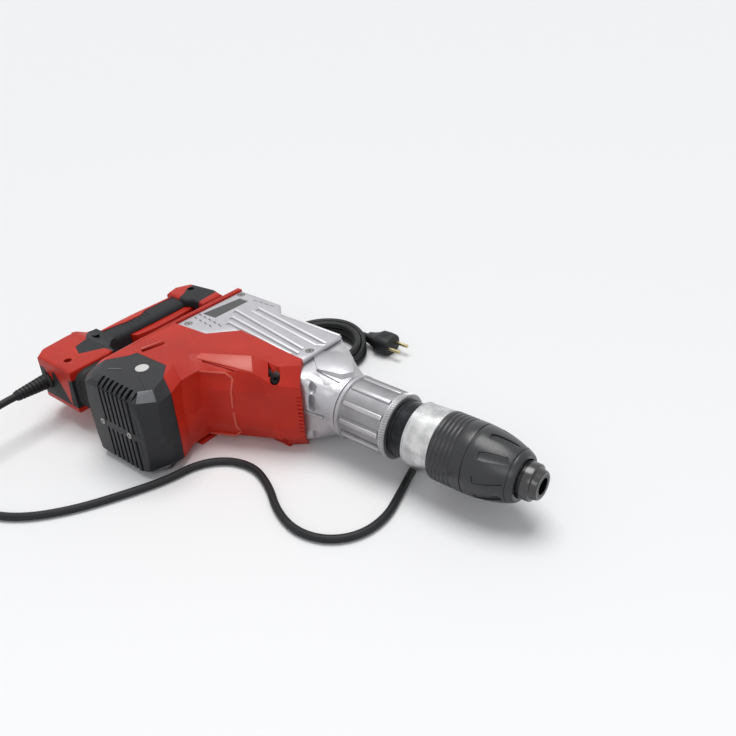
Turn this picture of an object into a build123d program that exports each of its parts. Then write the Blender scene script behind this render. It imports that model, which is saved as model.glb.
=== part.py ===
from build123d import *
from math import atan, cos, pi, radians, sin, sqrt, tan
import os

# Demolition hammer, lying on its left side, in millimetres.
# +X runs forward along the barrel, +Y is the tool's top, +Z its right side, which here faces up.
# The origin is the centre of the tool socket's mouth. "x_" names are places along the barrel.

os.makedirs("parts", exist_ok=True)

# ---------------------------------------------------------------- driving sizes
# Clearances
RUN = 0.05            # radial running clearance of a shaft in its bore
SEAT = 0.1            # radial clearance of a piece that is pressed or seated
GAP = 0.3             # clearance between soft, curved or moulded neighbours
PLAY = 0.5            # clearance between mouldings and castings side by side

# Chuck and barrel
socket_radius = 9.05
socket_bearing = 55.0
relief_radius = 9.5
nose_radius = 12.0
holder_radius = 17.5
shoulder_radius = 24.0
dust_cap_length = 17.0
dust_cap_radius = 20.0
sleeve_length = 96.0
sleeve_radius = 38.5
sleeve_mouth_radius = 25.0
sleeve_wall = 3.7
sleeve_travel = 10.0
ring_length = 34.6
ring_tail_radius = 34.0
band_radius = 32.0
neck_length = 70.0
neck_radius = 35.5
neck_rim_radius = 37.3
neck_rim_length = 6.0
neck_rib_count = 12
neck_rib_height = 1.2
neck_rib_width = 3.2
spigot_radius = 30.0
spigot_length = 24.0
nose_length = 54.0

# Locking rollers
roller_radius = 5.2
roller_length = 22.0
roller_start = 60.0
roller_lift = 2.2

# Percussion line
socket_depth = 135.0
bolt_seat = 13.0
bolt_chamber = 37.0
neck_reach = 32.6     # from the socket's bottom back to the neck's front
bolt_radius = 14.9
bolt_travel = 6.0
cylinder_bore = 18.0
cylinder_wall = 4.0
striker_length = 44.0
striker_travel = 18.0
piston_length = 44.0
wrist_pin_radius = 5.0
crank_radius = 14.0
rod_length = 77.0
rod_thickness = 12.0
crank_pin_radius = 7.0

# Gears
gear_module = 1.25
pinion_teeth = 10
gear_teeth = 60
gear_width = 11.0
pressure_angle = 25.0
tooth_thinning = 0.12

# Motor, with its axis across the barrel
motor_to_neck = 191.0
stator_radius = 47.0
stator_length = 50.0
core_radius = 25.0
fan_radius = 42.0
commutator_radius = 14.0

# Housing outline
case_half_width = 46.0
cover_thickness = 6.0
cover_step = 2.0
cover_bevel = 1.2
cover_rib_height = 1.0
shell_wall = 3.5
rear_to_motor = 61.0
motor_to_front = 55.0
motor_bottom = 185.0
case_top_rear = 64.0
case_top_front = 48.0
case_bottom = 50.0
flange_thickness = 16.0
edge_chamfer = 10.0
hollow_chamfer = 8.5
rest_pad_height = 2.0
rest_pad_length = 45.0
rest_pad_width = 22.0

# D-handle
grip_gap = 81.0
grip_depth = 40.0
grip_thickness = 38.0
rubber_thickness = 2.7
arm_half_width = 30.0
upper_arm_half_width = 22.0
lower_arm_height = 94.0
handle_travel = 5.0
boot_gap_lower = 38.0
boot_gap_upper = 52.0
boot_half_height_lower = 26.0
boot_half_height_upper = 9.0
boot_half_width_lower = 26.0
boot_half_width_upper = 18.0
guide_pin_radius = 4.5
guide_pin_depth_lower = 24.0
guide_pin_depth_upper = 20.0
trigger_length = 103.0
trigger_reach = 10.0
trigger_half_width = 11.0
trigger_swing = 4.0

# Cord
cord_radius = 4.5
guard_length = 45.0
coil_radius = 50.0
coil_rows = 2
coil_layers = 3
plug_radius = 17.0
plug_length = 42.0

# ---------------------------------------------------------------- places along the barrel
x_sleeve_front = -dust_cap_length - 3.0
x_sleeve_rear = x_sleeve_front - sleeve_length + 3.0
x_ring_rear = x_sleeve_rear - ring_length
x_neck_front = -socket_depth - neck_reach
x_neck_rear = x_neck_front - neck_length
x_spigot_rear = x_neck_rear - spigot_length
x_case_front = x_neck_rear - nose_length
x_motor = x_neck_rear - motor_to_neck
x_rear = x_motor - rear_to_motor
x_motor_front = x_motor + motor_to_front
centre_distance = gear_module * (pinion_teeth + gear_teeth) / 2
x_crank = x_motor + centre_distance
x_pin = x_crank + crank_radius
x_wrist = x_pin + rod_length
x_piston_front = x_wrist + piston_length / 2
x_piston_rear = x_wrist - piston_length / 2
x_chamber_front = -socket_depth - bolt_seat
x_chamber_rear = x_chamber_front - bolt_chamber
x_cylinder_rear = x_piston_rear - 13.0
x_grip_front = x_rear - grip_gap
x_grip = x_grip_front - grip_depth / 2
x_grip_rear = x_grip_front - grip_depth
x_boot_lower = x_rear - boot_gap_lower
x_boot_upper = x_rear - boot_gap_upper
x_case_rear = x_rear + 16.0
cover_half_width = case_half_width + cover_thickness
body_half_width = cover_half_width + cover_step
floor_z = -body_half_width - rest_pad_height

# ---------------------------------------------------------------- outlines seen from the side
y_underside = -97.0
y_cap_front = -143.0
y_flange_top = -case_bottom
y_flange_bottom = y_flange_top - flange_thickness

body_outline = [
    (x_rear, case_top_rear),
    (x_motor + 21, case_top_rear),
    (x_motor + 37, case_top_front),
    (x_case_front, case_top_front),
    (x_case_front, -21),
    (x_neck_rear - 38, -45),
    (x_neck_rear - 71, -63),
    (x_motor_front + 32, -83),
    (x_motor_front - 4, y_underside),
    (x_motor_front, y_cap_front),
    (x_motor_front - 6, 7 - motor_bottom),
    (x_motor_front - 26, -motor_bottom),
    (x_rear + 14, -motor_bottom),
    (x_rear, 12 - motor_bottom),
]
cover_outline = [
    (x_rear + 12, case_top_rear),
    (x_motor + 21, case_top_rear),
    (x_motor + 37, case_top_front),
    (x_case_front, case_top_front),
    (x_case_front, -21),
    (x_motor + 31, -13),
    (x_motor + 1, -43),
    (x_rear + 10, -47),
]
cap_outline = [
    (x_rear, -172),
    (x_rear + 4, -171),
    (x_rear + 23, -116),
    (x_motor + 18, -117.5),
    (x_motor + 35, -136),
    (x_motor_front, y_cap_front),
    (x_motor_front - 6, 7 - motor_bottom),
    (x_motor_front - 26, -motor_bottom),
    (x_rear + 14, -motor_bottom),
    (x_rear, 12 - motor_bottom),
]


# ---------------------------------------------------------------- helpers
def slab(points, z_low, z_high, grow=0.0, mode=Mode.ADD):
    """A plate with a side outline, moved outwards by grow, from z_low to z_high."""
    with BuildSketch(Plane.XY.offset(z_low)) as outline:
        Polygon(*points, align=None)
        if grow:
            offset(amount=grow, kind=Kind.INTERSECTION)
    extrude(outline.sketch, amount=z_high - z_low, mode=mode)


def turned(points, mode=Mode.ADD):
    """A turned piece on the barrel's axis, from its (x, radius) outline."""
    with BuildSketch(Plane.XY) as section:
        Polygon(*points, align=None)
    revolve(section.sketch, axis=Axis.X, mode=mode)


def spun(centre_x, points, mode=Mode.ADD):
    """A turned piece on an axis across the barrel, from its (radius, y) outline."""
    with BuildSketch(Plane.XY) as section:
        Polygon(*[(centre_x + radius, y) for radius, y in points], align=None)
    revolve(section.sketch, axis=Axis((centre_x, 0, 0), (0, 1, 0)), mode=mode)


def bar(plane, radius, length, mode=Mode.ADD):
    """A round bar or hole that starts on a plane and runs along its normal."""
    with BuildSketch(plane) as section:
        Circle(radius)
    extrude(section.sketch, amount=length, mode=mode)


def bar_x(radius, x_low, x_high, y=0.0, z=0.0, mode=Mode.ADD):
    """A round bar or hole along the barrel."""
    bar(Plane(origin=(x_low, y, z), x_dir=(0, 1, 0), z_dir=(1, 0, 0)), radius, x_high - x_low, mode)


def bar_y(radius, y_low, y_high, x, z=0.0, mode=Mode.ADD):
    """A round bar or hole across the barrel, parallel to Y."""
    bar(Plane(origin=(x, y_low, z), x_dir=(1, 0, 0), z_dir=(0, 1, 0)), radius, y_high - y_low, mode)


def bar_z(radius, z_low, z_high, x, y, mode=Mode.ADD):
    """A round bar or hole from side to side."""
    bar(Plane(origin=(x, y, z_low), x_dir=(1, 0, 0), z_dir=(0, 0, 1)), radius, z_high - z_low, mode)


def block(x_low, x_high, y_low, y_high, z_low, z_high, mode=Mode.ADD):
    """A rectangular block between its limits."""
    corners = [(x_low, y_low), (x_high, y_low), (x_high, y_high), (x_low, y_high)]
    slab(corners, z_low, z_high, mode=mode)


def side_edges(part, z, y_max):
    """Edges of a side face at height z that lie below y_max, apart from the rear wall's."""
    found = part.edges().filter_by(lambda e: abs(e.center().Z - z) < 0.01 and e.center().Y < y_max)
    return found.filter_by(lambda e: e.center().X > x_rear + 20)


def finish(part, name):
    part.label = name
    export_step(part, f"parts/{name}.step")


# ---------------------------------------------------------------- screw places (x, y)
housing_screw_places = [
    (x_neck_rear - 66, -54),
    (x_motor_front + 29, -71),
    (x_rear + 10, -73),
]
cover_screw_places = [
    (x_rear + 20, case_top_rear - 9),
    (x_rear + 22, -36),
    (x_case_front - 8, 0),
]
handle_screw_places = [
    (x_grip, -92, arm_half_width),
    (x_grip - 1, case_top_rear + 4, upper_arm_half_width),
    (x_boot_lower - 26, -156, arm_half_width),
]
head_recess = 9.0
y_upper_pin = case_top_rear - 9
y_lower_pin = -140.0
screw_radius = 2.4
screw_head_radius = 4.4
screw_head_height = 3.5
cap_head_height = 2.0
boss_radius = 5.2
thread_depth = 24.0

# ---------------------------------------------------------------- crank case casting
gear_low = y_flange_top + 4.0
gear_high = gear_low + gear_width
web_low = gear_high + 2.0
web_high = web_low + 12.0
disc_low = web_high + 0.5
disc_high = disc_low + 8.5
disc_radius = 26.0
upper_bearing_radius = 20.0
lower_bearing_radius = 14.0
upper_bearing_bore = 10.0
lower_bearing_bore = 7.5
gear_tip_radius = gear_module * (gear_teeth / 2 + 0.8)
pinion_tip_radius = gear_module * (pinion_teeth / 2 + 0.8)
cylinder_radius = cylinder_bore + cylinder_wall
case_outline = [
    (x_case_rear, case_top_rear),
    (x_motor + 21, case_top_rear),
    (x_motor + 37, case_top_front),
    (x_case_front, case_top_front),
    (x_case_front, 8 - case_bottom),
    (x_case_front - 24, -case_bottom),
    (x_case_rear, -case_bottom),
]

nose_height = case_top_front + case_bottom - 8
nose_middle = (case_top_front - case_bottom + 8) / 2
nose_corner = 10.0
chamber_top = 40.0
chamber_half = 39.0


def case_form(grow=0.0, mode=Mode.ADD):
    """The casting's box and the nose that narrows to the neck's round seat, moved outwards by grow."""
    slab(case_outline, -case_half_width - grow, case_half_width + grow, grow=grow, mode=mode)
    with BuildSketch(Plane(origin=(x_case_front, nose_middle, 0), x_dir=(0, 1, 0), z_dir=(1, 0, 0))) as wide_end:
        RectangleRounded(nose_height + 2 * grow, 2 * case_half_width + 2 * grow, nose_corner + grow)
    with BuildSketch(Plane(origin=(x_neck_rear - 6, 0, 0), x_dir=(0, 1, 0), z_dir=(1, 0, 0))) as narrow_end:
        seat = 2 * (neck_rim_radius + grow) - 1
        RectangleRounded(seat, seat, seat / 2 - 0.5)
    loft([wide_end.sketch, narrow_end.sketch], mode=mode)


with BuildPart() as crank_case:
    case_form()
    bar_x(neck_rim_radius - 2, x_neck_rear - 7, x_neck_rear)
    # Seats for the neck's spigot and the guide cylinder.
    bar_x(spigot_radius + SEAT, x_spigot_rear - PLAY, x_neck_rear, mode=Mode.SUBTRACT)
    bar_x(cylinder_radius + SEAT, x_case_front - 41, x_spigot_rear, mode=Mode.SUBTRACT)
    # Crank chamber above the bearing web, gear chamber below it.
    block(x_case_rear + 27, x_case_front - 38, web_high, chamber_top, -chamber_half, chamber_half,
          mode=Mode.SUBTRACT)
    bar_y(gear_tip_radius + 2, y_flange_top, web_low, x_crank, mode=Mode.SUBTRACT)
    bar_y(pinion_tip_radius + 4, y_flange_top, web_low, x_motor, mode=Mode.SUBTRACT)
    bar_y(upper_bearing_radius + SEAT, web_low, web_high, x_crank, mode=Mode.SUBTRACT)
    for x, y in cover_screw_places:
        bar_z(screw_radius + GAP, -case_half_width, -case_half_width + 9, x, y, mode=Mode.SUBTRACT)
        bar_z(screw_radius + GAP, case_half_width - 9, case_half_width, x, y, mode=Mode.SUBTRACT)
    # Bore for the upper guide pin of the handle.
    bar_x(guide_pin_radius + SEAT, x_case_rear, x_case_rear + 24, y=y_upper_pin, mode=Mode.SUBTRACT)
finish(crank_case.part, "crank_case")

# ---------------------------------------------------------------- ribbed silver side covers
for side, name in ((1, "side_cover_right"), (-1, "side_cover_left")):
    with BuildPart() as side_cover:
        slab(cover_outline, case_half_width, cover_half_width, grow=-PLAY)
        rim = side_cover.edges().filter_by(lambda e: abs(e.center().Z - cover_half_width) < 0.01)
        chamfer(rim, length=cover_bevel)
        for x, y in cover_screw_places:
            bar_z(screw_radius + GAP, case_half_width, cover_half_width, x, y, mode=Mode.SUBTRACT)
            bar_z(screw_head_radius + GAP, cover_half_width - screw_head_height, cover_half_width, x, y,
                  mode=Mode.SUBTRACT)
        # Raised ribs along the cover.
        for k in range(5):
            rib_y = case_top_front - 8.0 - 9.0 * k
            block(x_motor + 30, x_case_front - 14, rib_y - 1.6, rib_y + 1.6, cover_half_width,
                  cover_half_width + cover_rib_height)
        if side < 0:
            # The third rest pad, near the front of the lower cover.
            x_pad_front = x_case_front - 15
            block(x_pad_front - 21, x_pad_front, rib_y + 4, case_top_front - 10,
                  cover_half_width - cover_bevel, body_half_width + rest_pad_height)
            mirror(about=Plane.XY, mode=Mode.REPLACE)
    finish(side_cover.part, name)

# ---------------------------------------------------------------- red housing shells
shell_floor = body_half_width - shell_wall
recess_depth = 20.0
with BuildPart() as half_body:
    slab(body_outline, 0, body_half_width)
    chamfer(side_edges(half_body, body_half_width, -30), length=edge_chamfer)

with BuildPart() as shell_hollow:
    slab(body_outline, 0, shell_floor, grow=-shell_wall)
    chamfer(side_edges(shell_hollow, shell_floor, -28), length=hollow_chamfer)

for side, name in ((1, "housing_right"), (-1, "housing_left")):
    with BuildPart() as housing:
        add(half_body.part)
        add(shell_hollow.part, mode=Mode.SUBTRACT)
        slab(cover_outline, 0, body_half_width + 1, mode=Mode.SUBTRACT)
        slab(cap_outline, 0, body_half_width + 1, grow=GAP / 2, mode=Mode.SUBTRACT)
        # Screw bosses, clear holes and head recesses.
        for x, y in housing_screw_places:
            bar_z(boss_radius, 0, shell_floor + 1, x, y)
        add(half_body.part, mode=Mode.INTERSECT)
        for x, y in housing_screw_places:
            if side > 0:
                bar_z(screw_radius + GAP, 0, body_half_width, x, y, mode=Mode.SUBTRACT)
                bar_z(screw_head_radius + GAP, body_half_width - recess_depth, body_half_width, x, y,
                      mode=Mode.SUBTRACT)
            else:
                bar_z(screw_radius + SEAT, 0, thread_depth, x, y, mode=Mode.SUBTRACT)
        # Half of the lower guide pin's socket in the rear wall, and holes for both pins.
        block(x_rear + shell_wall, x_rear + 11, y_lower_pin - 12, y_lower_pin + 12, 0, 12)
        # Room for the crank case between the halves.
        case_form(PLAY, mode=Mode.SUBTRACT)
        bar_x(guide_pin_radius + SEAT, x_rear - 1, x_rear + 12, y=y_lower_pin, mode=Mode.SUBTRACT)
        bar_x(guide_pin_radius + SEAT, x_rear - 1, x_rear + 12, y=y_upper_pin, mode=Mode.SUBTRACT)
        if side < 0:
            # Low pads that the tool rests on when it lies on its left side.
            pad_top = body_half_width + rest_pad_height
            block(x_rear + 24, x_motor_front - 14, y_underside - 9, y_underside + 31, body_half_width,
                  pad_top)
            x_pad_front = x_case_front - 8
            y_pad = y_flange_top + 2
            block(x_pad_front - rest_pad_length, x_pad_front, y_pad, y_pad + rest_pad_width, body_half_width,
                  pad_top)
            mirror(about=Plane.XY, mode=Mode.REPLACE)
    finish(housing.part, name)

# ---------------------------------------------------------------- vent cap over the motor's end
slot_count = 8
slot_pitch = 8.6
slot_width = 4.4
slot_rib = 8.0
x_first_slot = x_rear + 19
y_end_face = -motor_bottom
with BuildPart() as vent_cap:
    add(half_body.part)
    slab(cap_outline, 0, body_half_width, grow=-GAP / 2, mode=Mode.INTERSECT)
    add(shell_hollow.part, mode=Mode.SUBTRACT)
    mirror(about=Plane.XY)
    # Slots run from the chamfer down the end face, with a rib between the two rows.
    for k in range(slot_count):
        x_slot = x_first_slot + slot_pitch * k
        block(x_slot, x_slot + slot_width, y_end_face - 1, y_end_face + 14, slot_rib / 2, body_half_width - 4,
              mode=Mode.SUBTRACT)
        block(x_slot, x_slot + slot_width, y_end_face - 1, y_end_face + 14, 4 - body_half_width, -slot_rib / 2,
              mode=Mode.SUBTRACT)
    cap_screw_places = [(x_motor - 24, 0), (x_motor + 24, 0)]
    for x, z in cap_screw_places:
        bar_y(screw_radius + GAP, y_end_face, y_end_face + shell_wall, x, z, mode=Mode.SUBTRACT)
finish(vent_cap.part, "vent_cap")

# ---------------------------------------------------------------- neck and collar band
with BuildPart() as barrel_neck:
    neck_bore = shoulder_radius + SEAT
    turned([
        (x_spigot_rear, neck_bore),
        (x_spigot_rear, spigot_radius),
        (x_neck_rear + PLAY, spigot_radius),
        (x_neck_rear + PLAY, neck_rim_radius - 1),
        (x_neck_rear + 1.5, neck_rim_radius),
        (x_neck_rear + neck_rim_length, neck_rim_radius),
        (x_neck_rear + neck_rim_length + 1.5, neck_radius),
        (x_neck_front - neck_rim_length - 1.5, neck_radius),
        (x_neck_front - neck_rim_length, neck_rim_radius),
        (x_neck_front - 1, neck_rim_radius),
        (x_neck_front, neck_rim_radius - 1),
        (x_neck_front, neck_bore),
    ])
    rib_span = neck_length - 2 * neck_rim_length - 6
    x_rib_rear = x_neck_rear + neck_rim_length + 3
    with BuildSketch(Plane(origin=(x_rib_rear, 0, 0), x_dir=(0, 1, 0), z_dir=(1, 0, 0))):
        with PolarLocations(neck_radius + neck_rib_height / 2 - 1, neck_rib_count, 180 / neck_rib_count):
            Rectangle(neck_rib_height + 2, neck_rib_width)
    extrude(amount=rib_span)
finish(barrel_neck.part, "barrel_neck")

x_band_front = x_ring_rear + 30.0
with BuildPart() as collar_band:
    turned([
        (x_neck_front + GAP / 3, shoulder_radius + SEAT),
        (x_neck_front + GAP / 3, band_radius),
        (x_band_front - 1, band_radius),
        (x_band_front, band_radius - 1),
        (x_band_front, shoulder_radius + SEAT),
    ])
finish(collar_band.part, "collar_band")

# ---------------------------------------------------------------- tool holder, dust cap, circlip
x_shoulder = x_sleeve_rear + 1.0
key_width = 4.0
key_height = 2.0
key_length = 18.0
window_clearance = 0.2
with BuildPart() as tool_holder:
    turned([
        (0, socket_radius),
        (0, nose_radius),
        (x_sleeve_front, nose_radius),
        (x_sleeve_front, holder_radius),
        (x_shoulder, holder_radius),
        (x_shoulder, shoulder_radius),
        (x_chamber_rear, shoulder_radius),
        (x_chamber_rear, bolt_radius + RUN),
        (x_chamber_front, bolt_radius + RUN),
        (x_chamber_front, relief_radius),
        (-socket_bearing, relief_radius),
        (-socket_bearing, socket_radius),
    ])
    # Windows for the two locking rollers.
    block(-roller_start - roller_length - window_clearance, -roller_start + window_clearance,
          -roller_radius - window_clearance, roller_radius + window_clearance,
          -holder_radius - 1, holder_radius + 1, mode=Mode.SUBTRACT)
    # Drive keys behind the windows, which the grooves of a shank slide on.
    with BuildSketch(Plane(origin=(x_shoulder, 0, 0), x_dir=(0, 1, 0), z_dir=(1, 0, 0))):
        with PolarLocations(socket_radius - key_height / 2 + 0.5, 2):
            Rectangle(key_height + 1, key_width)
    extrude(amount=key_length)
finish(tool_holder.part, "tool_holder")

with BuildPart() as dust_cap:
    cap_bore = nose_radius + SEAT
    turned([
        (-dust_cap_length, cap_bore),
        (-dust_cap_length, dust_cap_radius - 1),
        (1 - dust_cap_length, dust_cap_radius),
        (-9, dust_cap_radius - 0.6),
        (-7, dust_cap_radius - 2),
        (-1, nose_radius + 2.4),
        (0, nose_radius + 1.4),
        (0, cap_bore),
    ])
finish(dust_cap.part, "dust_cap")

with BuildPart() as circlip:
    turned([
        (x_sleeve_front + 0.2, nose_radius + SEAT),
        (x_sleeve_front + 0.2, nose_radius + 5.5),
        (-dust_cap_length - 0.2, nose_radius + 5.5),
        (-dust_cap_length - 0.2, nose_radius + SEAT),
    ])
finish(circlip.part, "circlip")

# ---------------------------------------------------------------- locking sleeve and its rings
sleeve_bore = sleeve_radius - 0.5 - sleeve_wall
mouth_bore = dust_cap_radius + 1.0
with BuildPart() as locking_sleeve:
    turned([
        (x_sleeve_rear, sleeve_bore),
        (x_sleeve_rear, sleeve_radius - 0.7),
        (x_sleeve_rear + 13, sleeve_radius),
        (x_sleeve_rear + 38, sleeve_radius),
        (x_sleeve_rear + 55, sleeve_radius - 1.3),
        (x_sleeve_rear + 71, sleeve_radius - 4.5),
        (x_sleeve_rear + 85, sleeve_radius - 9),
        (x_sleeve_front, sleeve_mouth_radius),
        (x_sleeve_front, mouth_bore),
        (x_sleeve_front - 6, mouth_bore),
        (x_sleeve_rear + 83, sleeve_radius - 13.5),
        (x_sleeve_rear + 69, sleeve_radius - 9),
        (x_sleeve_rear + 55, sleeve_bore),
    ])
finish(locking_sleeve.part, "locking_sleeve")

x_roller_rear = -roller_start - roller_length
land_length = 10.0
release_bore = holder_radius + RUN
open_bore = release_bore + roller_lift + 0.1
with BuildPart() as release_ring:
    x_ramp_end = x_roller_rear - window_clearance + sleeve_travel + 0.5
    turned([
        (x_roller_rear - land_length, release_bore),
        (x_roller_rear - land_length, shoulder_radius),
        (x_roller_rear + 15, shoulder_radius),
        (x_roller_rear + 17, sleeve_bore - SEAT),
        (x_roller_rear + 24, sleeve_bore - SEAT),
        (x_roller_rear + 26, shoulder_radius + 2),
        (-roller_start + 12, shoulder_radius),
        (-roller_start + 12, open_bore),
        (x_ramp_end, open_bore),
        (x_roller_rear - window_clearance, release_bore),
    ])
finish(release_ring.part, "release_ring")

with BuildPart() as sleeve_ring:
    turned([
        (x_ring_rear, band_radius + GAP),
        (x_ring_rear, ring_tail_radius),
        (x_ring_rear + 2.5, ring_tail_radius + 2),
        (x_ring_rear + 4, ring_tail_radius + 2),
        (x_sleeve_rear, sleeve_radius - 0.7),
        (x_sleeve_rear, sleeve_bore),
        (x_sleeve_rear - 4, band_radius + GAP),
    ])
finish(sleeve_ring.part, "sleeve_ring")

wire_radius = 1.1
spring_radius = holder_radius + 3.2
spring_front = x_roller_rear - land_length - wire_radius - GAP
spring_rear = x_shoulder + wire_radius + GAP
with BuildPart() as sleeve_spring:
    spring_length = spring_front - spring_rear
    turns = 3.5
    coil_line = Plane(origin=(spring_rear, 0, 0), z_dir=(1, 0, 0)) * Helix(spring_length / turns, spring_length,
                                                                          spring_radius)
    with BuildSketch(Plane(origin=coil_line @ 0, z_dir=coil_line % 0)):
        Circle(wire_radius)
    sweep(path=coil_line, is_frenet=True)
finish(sleeve_spring.part, "sleeve_spring")

for side, name in ((1, "locking_roller_right"), (-1, "locking_roller_left")):
    with BuildPart() as roller:
        bar_x(roller_radius, x_roller_rear, -roller_start, z=side * (holder_radius - roller_radius))
        fillet(roller.edges().filter_by(GeomType.CIRCLE), radius=1)
    finish(roller.part, name)

# ---------------------------------------------------------------- percussion line
wall_plate = 6.0
stem_radius = 8.5
x_bolt_main_front = x_chamber_front - bolt_travel - 2
x_bolt_main_rear = x_bolt_main_front - 16
x_bolt_rear = x_chamber_rear - wall_plate - 5
with BuildPart() as impact_bolt:
    turned([
        (x_bolt_rear, 0),
        (x_bolt_rear, stem_radius - 1),
        (x_bolt_rear + 1, stem_radius),
        (x_bolt_main_rear, stem_radius),
        (x_bolt_main_rear, bolt_radius),
        (x_bolt_main_front, bolt_radius),
        (x_bolt_main_front, socket_radius - GAP),
        (-socket_depth - 1, socket_radius - GAP),
        (-socket_depth, socket_radius - 2),
        (-socket_depth, 0),
    ])
finish(impact_bolt.part, "impact_bolt")

with BuildPart() as guide_cylinder:
    turned([
        (x_chamber_rear - PLAY, stem_radius + RUN),
        (x_chamber_rear - PLAY, shoulder_radius),
        (x_chamber_rear - wall_plate - 8, shoulder_radius),
        (x_chamber_rear - wall_plate - 8, cylinder_radius),
        (x_cylinder_rear, cylinder_radius),
        (x_cylinder_rear, cylinder_bore),
        (x_chamber_rear - wall_plate, cylinder_bore),
        (x_chamber_rear - wall_plate, stem_radius + RUN),
    ])
finish(guide_cylinder.part, "guide_cylinder")

x_striker_front = x_bolt_rear - striker_travel - 1
x_striker_rear = x_striker_front - striker_length
ring_groove = 3.2
ring_width = 3.4
with BuildPart() as striker:
    turned([
        (x_striker_rear, 0),
        (x_striker_rear, cylinder_bore - 2),
        (x_striker_rear + 2, cylinder_bore - RUN),
        (x_striker_rear + 10, cylinder_bore - RUN),
        (x_striker_rear + 10, cylinder_bore - ring_groove),
        (x_striker_rear + 10 + ring_width, cylinder_bore - ring_groove),
        (x_striker_rear + 10 + ring_width, cylinder_bore - RUN),
        (x_striker_front - 6, cylinder_bore - RUN),
        (x_striker_front - 3, cylinder_bore - 5),
        (x_striker_front, cylinder_bore - 6),
        (x_striker_front, 0),
    ])
finish(striker.part, "striker")

with BuildPart() as striker_ring:
    turned([
        (x_striker_rear + 10.1, cylinder_bore - ring_groove + SEAT),
        (x_striker_rear + 10.1, cylinder_bore - RUN),
        (x_striker_rear + 9.9 + ring_width, cylinder_bore - RUN),
        (x_striker_rear + 9.9 + ring_width, cylinder_bore - ring_groove + SEAT),
    ])
finish(striker_ring.part, "striker_ring")

rod_slot = rod_thickness / 2 + 1.0
with BuildPart() as piston:
    turned([
        (x_piston_rear, 0),
        (x_piston_rear, cylinder_bore - RUN),
        (x_piston_front - 10, cylinder_bore - RUN),
        (x_piston_front - 10, cylinder_bore - ring_groove),
        (x_piston_front - 10 + ring_width, cylinder_bore - ring_groove),
        (x_piston_front - 10 + ring_width, cylinder_bore - RUN),
        (x_piston_front - 1, cylinder_bore - RUN),
        (x_piston_front, cylinder_bore - 1),
        (x_piston_front, 0),
    ])
    # Open skirt around the rod's small end, and the wrist pin's bore.
    block(x_piston_rear, x_wrist + 10, -rod_slot, rod_slot, -13, 13, mode=Mode.SUBTRACT)
    bar_y(wrist_pin_radius + SEAT, -cylinder_bore, cylinder_bore, x_wrist, mode=Mode.SUBTRACT)
finish(piston.part, "piston")

with BuildPart() as piston_ring:
    turned([
        (x_piston_front - 9.9, cylinder_bore - ring_groove + SEAT),
        (x_piston_front - 9.9, cylinder_bore - RUN),
        (x_piston_front - 10.1 + ring_width, cylinder_bore - RUN),
        (x_piston_front - 10.1 + ring_width, cylinder_bore - ring_groove + SEAT),
    ])
finish(piston_ring.part, "piston_ring")

with BuildPart() as wrist_pin:
    bar_y(wrist_pin_radius, 1.5 - cylinder_bore, cylinder_bore - 1.5, x_wrist)
finish(wrist_pin.part, "wrist_pin")

small_end_radius = 8.5
big_end_radius = 11.5
with BuildPart() as connecting_rod:
    half = rod_thickness / 2
    bar_y(small_end_radius, -half, half, x_wrist)
    bar_y(big_end_radius, -half, half, x_pin)
    block(x_pin, x_wrist, -half, half, -6, 6)
    bar_y(wrist_pin_radius + RUN, -half, half, x_wrist, mode=Mode.SUBTRACT)
    bar_y(crank_pin_radius + SEAT, -half, half, x_pin, mode=Mode.SUBTRACT)
finish(connecting_rod.part, "connecting_rod")

# The crank pin rides in the rod: its foot stops just above the crank disc.
with BuildPart() as crank_pin:
    bar_y(crank_pin_radius, disc_high + GAP, rod_thickness / 2 + 2, x_pin)
finish(crank_pin.part, "crank_pin")

# ---------------------------------------------------------------- crank shaft, gear and bearings
gear_seat_radius = 9.0
with BuildPart() as crank_shaft:
    spun(x_crank, [
        (0, disc_high),
        (disc_radius, disc_high),
        (disc_radius, disc_low),
        (upper_bearing_bore + 2, disc_low),
        (upper_bearing_bore + 2, web_high),
        (upper_bearing_bore, web_high),
        (upper_bearing_bore, web_low),
        (gear_seat_radius, web_low),
        (gear_seat_radius, gear_low),
        (lower_bearing_bore, gear_low),
        (lower_bearing_bore, y_flange_bottom + 4),
        (0, y_flange_bottom + 4),
    ])
finish(crank_shaft.part, "crank_shaft")


def gear_outline(teeth, first_angle):
    """Points of a spur gear with involute flanks, its first tooth at first_angle (radians)."""
    pitch_radius = gear_module * teeth / 2
    base_radius = pitch_radius * cos(radians(pressure_angle))
    root_radius = pitch_radius - 1.1 * gear_module
    tip_radius = pitch_radius + 0.8 * gear_module
    flat = tan(radians(pressure_angle)) - radians(pressure_angle)
    half_tooth = pi / (2 * teeth) - tooth_thinning / pitch_radius
    low = max(base_radius, root_radius)
    flank = [(root_radius, half_tooth + flat)] if root_radius < base_radius else []
    for k in range(4):
        radius = low + (tip_radius - low) * k / 3
        roll = sqrt(max((radius / base_radius) ** 2 - 1, 0))
        flank.append((radius, half_tooth + flat - (roll - atan(roll))))
    points = []
    for tooth in range(teeth):
        middle = first_angle + 2 * pi * tooth / teeth
        rising = [(radius, middle - angle) for radius, angle in flank]
        falling = [(radius, middle + angle) for radius, angle in reversed(flank)]
        points += [(radius * cos(angle), radius * sin(angle)) for radius, angle in rising + falling]
    return points


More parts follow.
